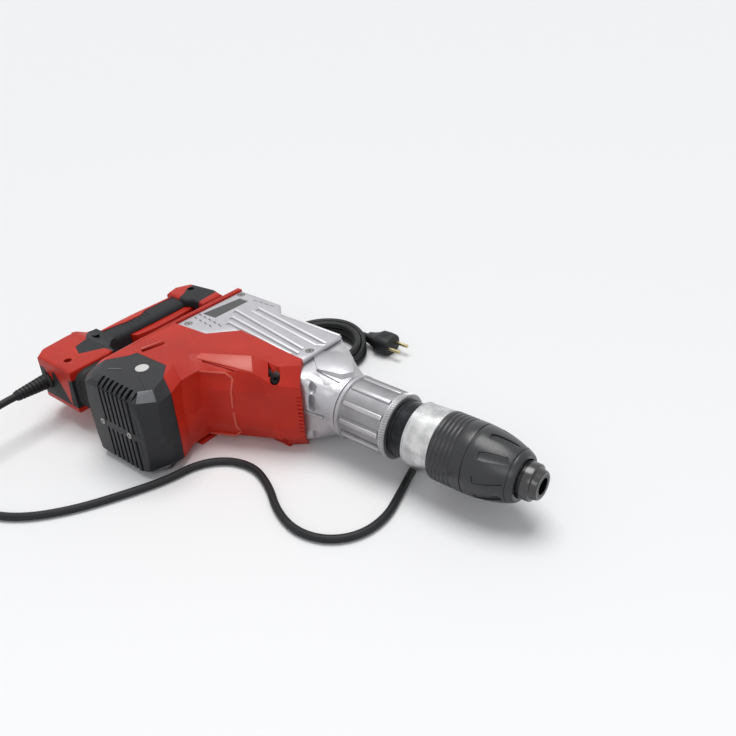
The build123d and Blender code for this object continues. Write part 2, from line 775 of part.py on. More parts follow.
with BuildPart() as crank_gear:
    with BuildSketch(Plane(origin=(x_crank, gear_low, 0), x_dir=(1, 0, 0), z_dir=(0, 1, 0))):
        Polygon(*gear_outline(gear_teeth, pi + pi / gear_teeth), align=None)
        Circle(gear_seat_radius, mode=Mode.SUBTRACT)
        # Lightening holes between hub and rim.
        with PolarLocations(gear_module * gear_teeth * 0.3, 6):
            Circle(gear_module * 4, mode=Mode.SUBTRACT)
    extrude(amount=gear_width)
finish(crank_gear.part, "crank_gear")

motor_top = y_flange_bottom + 2.0
top_bearing_high = motor_top + 10.0
foot_bearing_low = y_flange_top - 11.0
journal_radius = 7.5
tail_radius = 5.0
top_bearing_radius = 16.0
tail_bearing_radius = 12.0
fan_high = y_flange_bottom - 2.0
fan_low = fan_high - 14.0
core_high = fan_low - 14.0
core_low = core_high - stator_length + 4
winding_length = 9.0
commutator_high = core_low - winding_length - 2
commutator_low = commutator_high - 13.0
tail_bearing_high = commutator_low - 2.0
tail_bearing_low = tail_bearing_high - 9.0


def ball_bearing(centre_x, bore, outer, low, high):
    """A shielded bearing on an axis across the barrel, with its two shields set in a little."""
    shield = (outer - bore) / 4
    spun(centre_x, [
        (bore + RUN, low),
        (bore + RUN, high),
        (bore + shield, high),
        (bore + shield, high - shield_depth),
        (outer - shield, high - shield_depth),
        (outer - shield, high),
        (outer, high),
        (outer, low),
        (outer - shield, low),
        (outer - shield, low + shield_depth),
        (bore + shield, low + shield_depth),
        (bore + shield, low),
    ])


shield_depth = 0.6
with BuildPart() as crank_bearings:
    ball_bearing(x_crank, upper_bearing_bore, upper_bearing_radius, web_low, web_high - 1)
    ball_bearing(x_crank, lower_bearing_bore, lower_bearing_radius, foot_bearing_low, y_flange_top)
finish(crank_bearings.part, "crank_bearings")

with BuildPart() as motor_bearings:
    ball_bearing(x_motor, journal_radius, top_bearing_radius, motor_top, top_bearing_high)
    ball_bearing(x_motor, tail_radius, tail_bearing_radius, tail_bearing_low, tail_bearing_high)
finish(motor_bearings.part, "motor_bearings")

flange_outline = [
    (x_case_rear + 0.5, y_flange_top),
    (x_crank + lower_bearing_radius + 11, y_flange_top),
    (x_crank + lower_bearing_radius + 11, y_flange_bottom),
    (x_case_rear + 0.5, y_flange_bottom),
]
with BuildPart() as bearing_flange:
    slab(flange_outline, -case_half_width, case_half_width)
    bar_y(lower_bearing_radius + SEAT, foot_bearing_low, y_flange_top, x_crank, mode=Mode.SUBTRACT)
    bar_y(lower_bearing_bore + 1, y_flange_bottom, y_flange_top, x_crank, mode=Mode.SUBTRACT)
    bar_y(top_bearing_radius + SEAT, y_flange_bottom, top_bearing_high, x_motor, mode=Mode.SUBTRACT)
    bar_y(pinion_tip_radius + 1.5, y_flange_bottom, y_flange_top, x_motor, mode=Mode.SUBTRACT)
finish(bearing_flange.part, "bearing_flange")

# ---------------------------------------------------------------- motor
pinion_low = y_flange_top + 2.0
pinion_high = gear_high + 1.0
pinion_neck_radius = 4.5
core_seat_radius = 8.0
with BuildPart() as armature_shaft:
    spun(x_motor, [
        (0, pinion_low),
        (pinion_neck_radius, pinion_low),
        (pinion_neck_radius, top_bearing_high),
        (journal_radius, top_bearing_high),
        (journal_radius, motor_top - 1),
        (core_seat_radius, motor_top - 1),
        (core_seat_radius, commutator_low),
        (tail_radius, commutator_low),
        (tail_radius, tail_bearing_low - 1),
        (0, tail_bearing_low - 1),
    ])
    with BuildSketch(Plane(origin=(x_motor, pinion_low, 0), x_dir=(1, 0, 0), z_dir=(0, 1, 0))):
        Polygon(*gear_outline(pinion_teeth, 0), align=None)
    extrude(amount=pinion_high - pinion_low)
finish(armature_shaft.part, "armature_shaft")

with BuildPart() as armature_core:
    bar_y(core_radius, core_low, core_high, x_motor)
    bar_y(core_seat_radius, core_low, core_high, x_motor, mode=Mode.SUBTRACT)
    for k in range(12):
        angle = 2 * pi * k / 12
        groove_x = x_motor + (core_radius - 1) * cos(angle)
        bar_y(1.6, core_low, core_high, groove_x, (core_radius - 1) * sin(angle), mode=Mode.SUBTRACT)
finish(armature_core.part, "armature_core")

with BuildPart() as armature_windings:
    for low, high in ((core_high, core_high + winding_length), (core_low - winding_length, core_low)):
        bar_y(core_radius - 3, low, high, x_motor)
        bar_y(core_seat_radius, low, high, x_motor, mode=Mode.SUBTRACT)
    fillet(armature_windings.edges().filter_by(GeomType.CIRCLE).group_by(SortBy.RADIUS)[-1], radius=2)
finish(armature_windings.part, "armature_windings")

with BuildPart() as commutator:
    bar_y(commutator_radius, commutator_low, commutator_high, x_motor)
    bar_y(core_seat_radius, commutator_low, commutator_high, x_motor, mode=Mode.SUBTRACT)
finish(commutator.part, "commutator")

blade_count = 9
blade_length = 22.0
blade_thickness = 1.8
with BuildPart() as cooling_fan:
    fan_plate = 2.5
    spun(x_motor, [
        (core_seat_radius, fan_low),
        (core_seat_radius, fan_high),
        (13, fan_high),
        (15, fan_high - fan_plate - 3),
        (fan_radius, fan_high - fan_plate - 3),
        (fan_radius, fan_high - 2 * fan_plate - 3),
        (15, fan_high - 2 * fan_plate - 3),
        (13, fan_low),
    ])
    with BuildSketch(Plane(origin=(x_motor, fan_low, 0), x_dir=(1, 0, 0), z_dir=(0, 1, 0))):
        with PolarLocations(fan_radius - blade_length / 2 - 1, blade_count):
            Rectangle(blade_length, blade_thickness)
    extrude(amount=fan_high - fan_low - fan_plate - 4)
finish(cooling_fan.part, "cooling_fan")

pole_half_width = 16.0
pole_offset = 33.0
pole_half_depth = 6.0
with BuildPart() as stator:
    bar_y(stator_radius, core_low - 2, core_high + 2, x_motor)
    block(x_motor - stator_radius, x_motor + stator_radius, core_low - 2, core_high + 2, -shell_floor + PLAY,
          shell_floor - PLAY, mode=Mode.INTERSECT)
    bar_y(core_radius + 0.8, core_low - 2, core_high + 2, x_motor, mode=Mode.SUBTRACT)
    # Two pole openings leave room for the field coils.
    for sign in (1, -1):
        z_pole = sign * pole_offset
        block(x_motor - pole_half_width, x_motor + pole_half_width, core_low - 2, core_high + 2,
              z_pole - pole_half_depth, z_pole + pole_half_depth, mode=Mode.SUBTRACT)
finish(stator.part, "stator")

with BuildPart() as field_coils:
    for sign in (1, -1):
        z_pole = sign * pole_offset
        coil_half_width = pole_half_width - GAP
        coil_half_depth = pole_half_depth - GAP
        block(x_motor - coil_half_width, x_motor + coil_half_width, core_low - 9, core_high + 9,
              z_pole - coil_half_depth, z_pole + coil_half_depth)
finish(field_coils.part, "field_coils")

with BuildPart() as fan_baffle:
    baffle_low = core_high + 10.0
    baffle_high = fan_low - GAP
    bar_y(stator_radius + 1, baffle_low, baffle_high, x_motor)
    bar_y(core_radius + 7, baffle_low, baffle_high, x_motor, mode=Mode.SUBTRACT)
finish(fan_baffle.part, "fan_baffle")

brush_width = 8.0
brush_middle = (commutator_low + commutator_high) / 2
bracket_radius = stator_radius - 6
holder_out = bracket_radius - 4
with BuildPart() as end_bracket:
    bar_y(bracket_radius, tail_bearing_low, core_low - 10, x_motor)
    bar_y(bracket_radius - 3, tail_bearing_low + 3, core_low - 10, x_motor, mode=Mode.SUBTRACT)
    bar_y(tail_bearing_radius + 3, tail_bearing_low, tail_bearing_high, x_motor)
    bar_y(tail_bearing_radius + SEAT, tail_bearing_low, tail_bearing_high + 1, x_motor, mode=Mode.SUBTRACT)
    # Open windows between the arms let the cooling air in.
    for sign in (1, -1):
        block(x_motor - 30, x_motor + 30, tail_bearing_low - 1, tail_bearing_low + 3, sign * 28 - 8,
              sign * 28 + 8, mode=Mode.SUBTRACT)
    for x, z in cap_screw_places:
        bar_y(screw_radius + GAP, tail_bearing_low, tail_bearing_low + 3, x, z, mode=Mode.SUBTRACT)
finish(end_bracket.part, "end_bracket")

with BuildPart() as brush_holders:
    for sign in (1, -1):
        low, high = sorted((sign * (commutator_radius + 4), sign * holder_out))
        block(x_motor - brush_width / 2 - 2, x_motor + brush_width / 2 + 2, brush_middle - 6.5,
              brush_middle + 6.5, low, high)
        block(x_motor - brush_width / 2 - SEAT, x_motor + brush_width / 2 + SEAT, brush_middle - 4 - SEAT,
              brush_middle + 4 + SEAT, low, high, mode=Mode.SUBTRACT)
finish(brush_holders.part, "brush_holders")

brush_length = 14.0
with BuildPart() as carbon_brushes:
    for sign in (1, -1):
        low, high = sorted((sign * (commutator_radius + GAP), sign * (commutator_radius + brush_length)))
        block(x_motor - brush_width / 2, x_motor + brush_width / 2, brush_middle - 4, brush_middle + 4, low, high)
finish(carbon_brushes.part, "carbon_brushes")

brush_spring_radius = 2.8
with BuildPart() as brush_springs:
    for sign in (1, -1):
        low, high = sorted((sign * (commutator_radius + brush_length), sign * (holder_out - 0.5)))
        bar_z(brush_spring_radius, low, high, x_motor, brush_middle)
        bar_z(brush_spring_radius - 0.8, low, high, x_motor, brush_middle, mode=Mode.SUBTRACT)
finish(brush_springs.part, "brush_springs")

# ---------------------------------------------------------------- D-handle
handle_wall = 3.0
handle_chamfer = 3.0
grip_corner = 15.0
y_arm_low = y_end_face + 13
y_arm_high = case_top_rear + 22
y_grip_low = y_arm_low + lower_arm_height
y_grip_high = case_top_rear - 24
y_arm_under = y_grip_high + 6
lower_arm_outline = [
    (x_grip_rear, y_grip_low),
    (x_grip_rear, y_arm_low + 50),
    (x_grip_rear + 4, y_arm_low + 13),
    (x_grip_rear + 15, y_arm_low),
    (x_boot_lower, y_arm_low),
    (x_boot_lower, y_arm_low + 64),
    (x_boot_lower - 17, y_arm_low + 68),
    (x_grip_front + 5, y_grip_low - 10),
    (x_grip_front, y_grip_low),
]
upper_arm_outline = [
    (x_grip_rear, y_grip_high),
    (x_grip_front, y_grip_high),
    (x_grip_front + 8, y_arm_under),
    (x_boot_upper, y_arm_under),
    (x_boot_upper, y_arm_high - 4),
    (x_grip_front + 10, y_arm_high),
    (x_grip_rear + 6, y_arm_high - 6),
    (x_grip_rear - 5, y_arm_high - 28),
]


def handle_form(inset=0.0):
    """The handle's form without its rubber, moved inwards by inset."""
    slab(lower_arm_outline, inset - arm_half_width, arm_half_width - inset, grow=-inset)
    slab(upper_arm_outline, inset - upper_arm_half_width, upper_arm_half_width - inset, grow=-inset)
    shrink = rubber_thickness + inset
    core_plane = Plane(origin=(x_grip, y_grip_low - 22, 0), x_dir=(1, 0, 0), z_dir=(0, 1, 0))
    with BuildSketch(core_plane) as core:
        RectangleRounded(grip_depth - 2 * shrink, grip_thickness - 2 * shrink, grip_corner - shrink)
    extrude(core.sketch, amount=y_grip_high - y_grip_low + 42)


with BuildPart() as handle_solid:
    handle_form()
    for height in (arm_half_width, upper_arm_half_width):
        sides = handle_solid.edges().filter_by(lambda e: abs(abs(e.center().Z) - height) < 0.01)
        chamfer(sides, length=handle_chamfer)

with BuildPart() as handle_hollow:
    handle_form(handle_wall)

x_trigger_pin = x_grip_front - 3.4
y_trigger_pin = y_grip_high + 10
y_trigger_low = y_trigger_pin - trigger_length
trigger_pin_radius = 2.5
pin_boss_radius = 9.0
guide_pin_places = [
    (x_boot_lower, y_lower_pin, guide_pin_depth_lower, x_rear + 11.5),
    (x_boot_upper, y_upper_pin, guide_pin_depth_upper, x_case_rear + 22),
]
x_guard = x_grip + 8
guard_root_radius = 9.0
guard_flange_radius = 11.0
for side, name in ((1, "handle_right"), (-1, "handle_left")):
    with BuildPart() as handle_half:
        add(handle_solid.part)
        add(handle_hollow.part, mode=Mode.SUBTRACT)
        for x, y, half_width in handle_screw_places:
            bar_z(boss_radius, -half_width + 1, half_width - 1, x, y)
            if side > 0:
                bar_z(screw_radius + GAP, 0, half_width, x, y, mode=Mode.SUBTRACT)
                bar_z(screw_head_radius + GAP, half_width - head_recess, half_width, x, y, mode=Mode.SUBTRACT)
            else:
                bar_z(screw_radius + SEAT, 0, half_width - 5, x, y, mode=Mode.SUBTRACT)
        # Bosses and running bores for the two guide pins.
        for x, y, pin_depth, x_pin_front in guide_pin_places:
            x_bore_end = x - pin_depth - handle_travel - 1
            bar_x(pin_boss_radius, x_bore_end - handle_wall, x, y=y)
            bar_x(guide_pin_radius + RUN, x_bore_end, x, y=y, mode=Mode.SUBTRACT)
        # Boss of the trigger's pin, and the trigger's slot.
        boss_top = upper_arm_half_width - 1
        bar_z(trigger_pin_radius + 3, 0, boss_top, x_trigger_pin, y_trigger_pin)
        bar_z(trigger_pin_radius + SEAT, 0, boss_top, x_trigger_pin, y_trigger_pin, mode=Mode.SUBTRACT)
        block(x_grip_front - 14, x_grip_front + 9, y_trigger_low - 0.6, y_trigger_pin + 6, 0,
              trigger_half_width + GAP, mode=Mode.SUBTRACT)
        # Half of the hole that the cord guard sits in.
        bar_y(guard_root_radius + SEAT, y_arm_low, y_arm_low + handle_wall, x_guard, mode=Mode.SUBTRACT)
        block(x_grip_rear - 20, x_boot_lower + 20, y_arm_low - 20, y_arm_high + 20, -arm_half_width - 1, 0,
              mode=Mode.SUBTRACT)
        if side < 0:
            mirror(about=Plane.XY, mode=Mode.REPLACE)
    finish(handle_half.part, name)

with BuildPart() as grip_cover:
    cover_plane = Plane(origin=(x_grip, y_grip_low + SEAT, 0), x_dir=(1, 0, 0), z_dir=(0, 1, 0))
    with BuildSketch(cover_plane):
        bore_inset = rubber_thickness - SEAT
        RectangleRounded(grip_depth, grip_thickness, grip_corner)
        RectangleRounded(grip_depth - 2 * bore_inset, grip_thickness - 2 * bore_inset, grip_corner - bore_inset,
                         mode=Mode.SUBTRACT)
    extrude(amount=y_grip_high - y_grip_low - 2 * SEAT)
    block(x_grip_front - 14, x_grip_front + 9, y_trigger_low - 1, y_grip_high, -trigger_half_width - 2 * GAP,
          trigger_half_width + 2 * GAP, mode=Mode.SUBTRACT)
finish(grip_cover.part, "grip_cover")

# ---------------------------------------------------------------- trigger and switch
x_trigger_back = x_grip_front - 5
trigger_outline = [
    (x_trigger_back, y_trigger_pin + 4),
    (x_grip_front + 1, y_trigger_pin + 4),
    (x_grip_front + trigger_reach - 2, y_trigger_pin - 12),
    (x_grip_front + trigger_reach, y_trigger_pin - 42),
    (x_grip_front + trigger_reach, y_trigger_pin - 72),
    (x_grip_front + trigger_reach - 4, y_trigger_low + 5),
    (x_grip_front - 3, y_trigger_low),
    (x_trigger_back, y_trigger_low),
]
lug_y = y_trigger_pin - 55
lug_reach = 4.0
with BuildPart() as trigger:
    slab(trigger_outline, -trigger_half_width, trigger_half_width)
    fillet(trigger.edges().filter_by(lambda e: abs(abs(e.center().Z) - trigger_half_width) < 0.01
                                     and e.center().X > x_grip_front), radius=2)
    block(x_trigger_back - lug_reach, x_trigger_back, lug_y - 4, lug_y + 4, -4, 4)
    bar_z(trigger_pin_radius + RUN, -trigger_half_width, trigger_half_width, x_trigger_pin, y_trigger_pin,
          mode=Mode.SUBTRACT)
finish(trigger.part, "trigger")

with BuildPart() as trigger_pin:
    pin_end = upper_arm_half_width - 1.5
    bar_z(trigger_pin_radius, -pin_end, pin_end, x_trigger_pin, y_trigger_pin)
finish(trigger_pin.part, "trigger_pin")

x_switch_front = x_trigger_back - lug_reach - 6.4
plunger_radius = 2.5
plunger_length = 2.0
with BuildPart() as switch_module:
    block(x_switch_front - 15, x_switch_front, lug_y - 25, lug_y + 33, -10, 10)
    bar_x(plunger_radius, x_switch_front, x_switch_front + plunger_length, y=lug_y)
    # Ribs that locate the module between the handle's walls.
    rib_half = grip_thickness / 2 - rubber_thickness - handle_wall - GAP
    block(x_switch_front - 10, x_switch_front - 4, lug_y - 22, lug_y - 14, -rib_half, rib_half)
finish(switch_module.part, "switch_module")

# ---------------------------------------------------------------- damped joints of the handle
boot_wall = 2.0
boot_corner = 8.0
boot_sizes = [
    ("lower_boot", x_boot_lower, boot_half_width_lower, (y_arm_low + 4, y_arm_low + 60), y_lower_pin,
     boot_half_height_lower),
    ("upper_boot", x_boot_upper, boot_half_width_upper, (y_arm_under, y_arm_high - 6), y_upper_pin,
     boot_half_height_upper),
]
for name, x_arm, boot_half_width, arm_span, y_pin, half_height in boot_sizes:
    wall_span = (y_pin - half_height, y_pin + half_height)
    with BuildPart() as boot:
        for inset, mode in ((0, Mode.ADD), (boot_wall, Mode.SUBTRACT)):
            ends = []
            for x_end, span in ((x_arm + SEAT, arm_span), (x_rear - SEAT, wall_span)):
                middle = (span[0] + span[1]) / 2
                with BuildSketch(Plane(origin=(x_end, middle, 0), x_dir=(0, 1, 0), z_dir=(1, 0, 0))) as end:
                    boot_height = span[1] - span[0] - 2 * inset
                    RectangleRounded(boot_height, 2 * (boot_half_width - inset), boot_corner - inset)
                ends.append(end.sketch)
            loft(ends, mode=mode)
    finish(boot.part, name)

damper_wire = 0.9
damper_radius = guide_pin_radius + damper_wire + GAP + SEAT
damper_turns = 6
with BuildPart() as damper_springs:
    for x_arm, y_pin, pin_depth, x_pin_front in guide_pin_places:
        low = x_arm + damper_wire + GAP
        length = x_rear - damper_wire - GAP - low
        damper_line = Plane(origin=(low, y_pin, 0), z_dir=(1, 0, 0)) * Helix(length / damper_turns, length,
                                                                            damper_radius)
        with BuildSketch(Plane(origin=damper_line @ 0, z_dir=damper_line % 0)):
            Circle(damper_wire)
        sweep(path=damper_line, is_frenet=True)
finish(damper_springs.part, "damper_springs")

with BuildPart() as guide_pins:
    for x, y, pin_depth, x_pin_front in guide_pin_places:
        bar_x(guide_pin_radius, x - pin_depth, x_pin_front, y=y)
    chamfer(guide_pins.edges().filter_by(GeomType.CIRCLE), length=0.6)
finish(guide_pins.part, "guide_pins")

# ---------------------------------------------------------------- screws
with BuildPart() as casing_screws:
    for x, y in housing_screw_places:
        head_seat = body_half_width - recess_depth
        bar_z(screw_radius, -thread_depth + 1, head_seat, x, y)
        bar_z(screw_head_radius, head_seat, head_seat + screw_head_height, x, y)
    for x, y in cover_screw_places:
        head_seat = cover_half_width - screw_head_height
        for sign in (1, -1):
            low, high = sorted((sign * (case_half_width - 8.5), sign * head_seat))
            bar_z(screw_radius, low, high, x, y)
            low, high = sorted((sign * head_seat, sign * (cover_half_width - 0.3)))
            bar_z(screw_head_radius, low, high, x, y)
    for x, z in cap_screw_places:
        bar_y(screw_radius, y_end_face, tail_bearing_low + 3, x, z)
        bar_y(screw_head_radius, y_end_face - cap_head_height, y_end_face, x, z)
finish(casing_screws.part, "casing_screws")

with BuildPart() as handle_screws:
    for x, y, half_width in handle_screw_places:
        head_seat = half_width - head_recess
        bar_z(screw_radius, 6 - half_width, head_seat, x, y)
        bar_z(screw_head_radius, head_seat, head_seat + screw_head_height, x, y)
finish(handle_screws.part, "handle_screws")

# ---------------------------------------------------------------- cord
y_guard_end = y_arm_low - guard_length
guard_end_radius = cord_radius + 1.5
with BuildPart() as cord_guard:
    spun(x_guard, [
        (0, y_arm_low + handle_wall + 4),
        (guard_flange_radius, y_arm_low + handle_wall + 4),
        (guard_flange_radius, y_arm_low + handle_wall),
        (guard_root_radius, y_arm_low + handle_wall),
        (guard_root_radius, y_arm_low - 2),
        (guard_end_radius, y_guard_end),
        (0, y_guard_end),
    ])
finish(cord_guard.part, "cord_guard")

lay_z = floor_z + cord_radius
coil_x = -405.0
coil_y = case_top_rear + 70.0
row_radius = coil_radius + cord_radius
lead_length = 36.0
x_coil_lead = coil_x + lead_length
y_coil_lead = coil_y - row_radius
cord_route = [
    (x_guard, y_guard_end, 0),
    (x_guard, -262, 0),
    (-571, -303, -15),
    (-541, -328, -38),
    (-497, -332, lay_z),
    (-450, -312, lay_z),
    (-413, -270, lay_z),
    (-386, -218, lay_z),
    (-367, -174, lay_z),
    (-361, -137, lay_z),
    (-337, -110, lay_z),
    (-302, -102, lay_z),
    (-266, -116, lay_z),
    (-233, -139, lay_z),
    (-195, -151, lay_z),
    (-160, -142, lay_z),
    (-137, -116, lay_z),
    (-132, -80, lay_z),
    (-143, -42, lay_z),
    (-156, 0, lay_z),
    (-165, 41, lay_z),
    (-189, 70, lay_z),
    (-228, 84, lay_z),
    (-274, 87, lay_z),
    (-321, y_coil_lead, lay_z),
    (x_coil_lead, y_coil_lead, lay_z),
]
cord_radii = []
for before, corner, after in zip(cord_route, cord_route[1:], cord_route[2:]):
    arriving = Vector(*corner) - Vector(*before)
    leaving = Vector(*after) - Vector(*corner)
    half_turn = radians(arriving.get_angle(leaving)) / 2
    cord_radii.append(0.45 * min(arriving.length, leaving.length) / tan(half_turn))
print("cord radii", [round(radius) for radius in cord_radii])

with BuildPart() as cord:
    with BuildLine():
        cord_path = FilletPolyline(*cord_route, radius=cord_radii)
    with BuildSketch(Plane(origin=cord_path @ 0, z_dir=cord_path % 0)):
        Circle(cord_radius)
    sweep(path=cord_path)
print("cord length", round(cord_path.length), "volume ratio",
      round(cord.part.volume / (pi * cord_radius ** 2 * cord_path.length), 4))
finish(cord.part, "cord")

# Closed ring of the coil's outer shape, with the two ends that lead out of it.
coil_slack = 0.6
coil_inner = coil_radius - cord_radius * (2 * coil_rows - 2)
coil_outer = coil_radius + 2 * cord_radius + coil_slack
z_coil_top = floor_z + 2 * cord_radius * coil_layers
lead_z = lay_z + 2 * cord_radius
with BuildPart() as cord_coil:
    bar_z(coil_outer, floor_z, z_coil_top, coil_x, coil_y)
    fillet(cord_coil.edges().filter_by(GeomType.CIRCLE), radius=3)
    bar_z(coil_inner, floor_z - 1, z_coil_top + 1, coil_x, coil_y, mode=Mode.SUBTRACT)
    bar_x(cord_radius - 0.1, coil_x + 2, x_coil_lead, y=y_coil_lead, z=lay_z)
    bar_x(cord_radius - 0.1, coil_x + 2, x_coil_lead, y=coil_y + row_radius, z=lead_z)
finish(cord_coil.part, "cord_coil")

# ---------------------------------------------------------------- plug
plug_height = 27.0
plug_tail = 16.0
x_plug_tail = x_coil_lead
with BuildPart() as plug:
    y_plug = coil_y + row_radius
    with BuildSketch(Plane(origin=(x_plug_tail, y_plug, lead_z), x_dir=(0, 1, 0), z_dir=(1, 0, 0))) as tail_end:
        RectangleRounded(2 * cord_radius + 3, 2 * cord_radius + 3, cord_radius)
    plug_plane = Plane(origin=(x_plug_tail + plug_tail, y_plug, lead_z), x_dir=(0, 1, 0), z_dir=(1, 0, 0))
    with BuildSketch(plug_plane) as body_end:
        RectangleRounded(2 * plug_radius, plug_height, 8)
    loft([tail_end.sketch, body_end.sketch])
    extrude(body_end.sketch, amount=plug_length - plug_tail)
finish(plug.part, "plug")

pin_pitch = 19.0
pin_reach = 19.0
with BuildPart() as plug_pins:
    x_plug_face = x_plug_tail + plug_length
    for sign in (1, -1):
        bar_x(2.4, x_plug_face, x_plug_face + pin_reach, y=y_plug + sign * pin_pitch / 2, z=lead_z)
    fillet(plug_pins.faces().sort_by(Axis.X)[-2:].edges(), radius=1)
finish(plug_pins.part, "plug_pins")
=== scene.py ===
# %% [markdown]
# # A demolition hammer, lying on its side
# The tool has four big groups: a red motor housing with a black vent cap, a silver casting with its
# covers and ribbed neck, a chuck at the front, and a sprung handle at the rear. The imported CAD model
# is the fixed frame, and each visible piece is modelled in detail in the place that it gives.
# Sizes are written in millimetres and turned to metres by one function, because that is how a maker
# reads them.

# %% Load the frame
from math import cos, pi, radians, sin

import bmesh
import bpy
from mathutils import Matrix, Quaternion, Vector


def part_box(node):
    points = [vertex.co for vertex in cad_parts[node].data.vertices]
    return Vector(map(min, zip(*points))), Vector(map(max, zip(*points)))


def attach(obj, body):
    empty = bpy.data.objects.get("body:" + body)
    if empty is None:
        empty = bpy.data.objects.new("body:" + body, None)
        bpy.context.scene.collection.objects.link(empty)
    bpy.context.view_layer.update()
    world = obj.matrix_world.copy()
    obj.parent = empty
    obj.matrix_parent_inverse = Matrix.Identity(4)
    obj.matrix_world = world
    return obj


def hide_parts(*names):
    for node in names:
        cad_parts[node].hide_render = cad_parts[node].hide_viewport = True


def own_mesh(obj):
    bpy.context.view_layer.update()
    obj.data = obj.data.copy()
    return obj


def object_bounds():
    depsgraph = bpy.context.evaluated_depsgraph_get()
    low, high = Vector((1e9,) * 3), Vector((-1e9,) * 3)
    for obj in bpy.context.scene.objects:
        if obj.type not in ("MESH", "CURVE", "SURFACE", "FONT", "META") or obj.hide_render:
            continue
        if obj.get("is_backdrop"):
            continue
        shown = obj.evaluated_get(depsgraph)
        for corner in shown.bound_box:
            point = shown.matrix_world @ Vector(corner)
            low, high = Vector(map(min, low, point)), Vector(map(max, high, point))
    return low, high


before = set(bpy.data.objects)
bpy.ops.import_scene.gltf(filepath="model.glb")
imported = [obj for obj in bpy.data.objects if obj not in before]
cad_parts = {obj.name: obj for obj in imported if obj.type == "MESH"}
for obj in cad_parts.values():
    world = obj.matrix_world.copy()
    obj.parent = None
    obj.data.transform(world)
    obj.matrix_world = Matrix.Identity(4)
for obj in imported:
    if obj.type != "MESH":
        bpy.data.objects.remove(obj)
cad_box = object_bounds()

scene = bpy.context.scene

# %% Millimetres and metres
MM = 0.001


def place(*point):
    """A point given in millimetres, as a vector in metres."""
    return Vector(point) * MM


def limits(node):
    """A CAD node's lowest and highest corners in millimetres, to a hundredth."""
    return [[round(value / MM, 2) for value in corner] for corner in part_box(node)]


# The tool rests on three pads, the lowest places of the left side.
pad_z = limits("housing_left")[0][2]
print("housing:", *limits("housing_right"), "pads at", pad_z)

# %% [markdown]
# ## Camera
# The tool is seen from its front, below and right side, a little above the floor. A short lens would
# stretch the chuck, which is nearest, and a long one would flatten the body, so a lens of about
# 39 mm is used. The camera looks at a point inside the housing and leans by three degrees.

# %% Camera
camera_spot = Vector((0.2574, -0.5569, 0.5166))
camera_target = Vector((-0.3329, 0.1404, -0.056))
camera_lean = -0.0536
camera_data = bpy.data.cameras.new("camera")
camera_data.sensor_width = 36
camera_data.lens = 39.13
camera_data.clip_start = 0.01
camera = bpy.data.objects.new("camera", camera_data)
scene.collection.objects.link(camera)
camera.location = camera_spot
camera.rotation_mode = "QUATERNION"
facing = (camera_target - camera_spot).to_track_quat("-Z", "Y")
camera.rotation_quaternion = facing @ Quaternion((0, 0, 1), camera_lean)
scene.camera = camera
print("camera", tuple(round(c, 3) for c in camera.location))

# %% [markdown]
# ## Power cord
# A heavy rubber cord, 9 mm thick, leaves the handle through its guard, comes down to the floor and
# wanders past the tool's underside, round its nose and back behind it, where the spare length is
# wound in a neat coil of two rows and three layers. A cord could be a chain of short tubes, but one
# NURBS curve is shorter: the points are the route, and the spline rounds them as a real cord does.

# %% Cord route
cord_radius = 4.5
lay_z = pad_z + cord_radius
cord_points = [
    (-582.6, -217, 0), (-582.6, -262, 0), (-571, -303, -15), (-541, -328, -38),
    (-497, -332, lay_z), (-450, -312, lay_z), (-413, -270, lay_z), (-386, -218, lay_z),
    (-367, -174, lay_z), (-361, -137, lay_z), (-337, -110, lay_z), (-302, -102, lay_z),
    (-266, -116, lay_z), (-233, -139, lay_z), (-195, -151, lay_z), (-160, -142, lay_z),
    (-137, -116, lay_z), (-132, -80, lay_z), (-143, -42, lay_z), (-156, 0, lay_z),
    (-165, 41, lay_z), (-189, 70, lay_z), (-228, 84, lay_z), (-274, 87, lay_z),
    (-321, 79.5, lay_z), (-369, 79.5, lay_z),
]
print("route:", len(cord_points), "points, laid at", lay_z)

# %% Coil
coil_x, coil_y = -405.0, 134.0
outer_row = 54.5
inner_row = outer_row - 2 * cord_radius
# The third layer sinks a little between the cords of the second.
layer_z = [lay_z, lay_z + 9.0, lay_z + 17.9]
# Each turn: its row, its layer, and the shares of the turn between which it moves to the next one.
# A turn moves only once the turn that lies where it is going has moved away.
turns = [(outer_row, 0, 0.78, 1.0), (inner_row, 0, 0.70, 0.92), (inner_row, 1, 0.70, 0.92),
         (inner_row, 2, 0.60, 0.82), (outer_row, 2, 0.50, 0.70), (outer_row, 1, 0.5, 1.0)]
points_per_turn = 14
half_turns = 11


def eased(t):
    """A smooth step from 0 to 1."""
    t = min(max(t, 0.0), 1.0)
    return t * t * (3 - 2 * t)


for step in range(1, points_per_turn * half_turns // 2):
    turn, share = divmod(step / points_per_turn, 1)
    row, layer, leaves, settles = turns[int(turn)]
    next_row, next_layer = turns[min(int(turn) + 1, len(turns) - 1)][:2]
    change = eased((share - leaves) / (settles - leaves))
    radius = row + (next_row - row) * change
    height = layer_z[layer] + (layer_z[next_layer] - layer_z[layer]) * change
    angle = -pi / 2 - 2 * pi * step / points_per_turn
    # Control points lie a little outside the line that a quadratic spline follows.
    radius /= cos(pi / points_per_turn)
    cord_points.append((coil_x + radius * cos(angle), coil_y + radius * sin(angle), height))
cord_points += [(-400, 188.5, layer_z[1]), (-369, 188.5, layer_z[1])]
print("coil:", half_turns / 2, "turns, route and coil:", len(cord_points), "points")

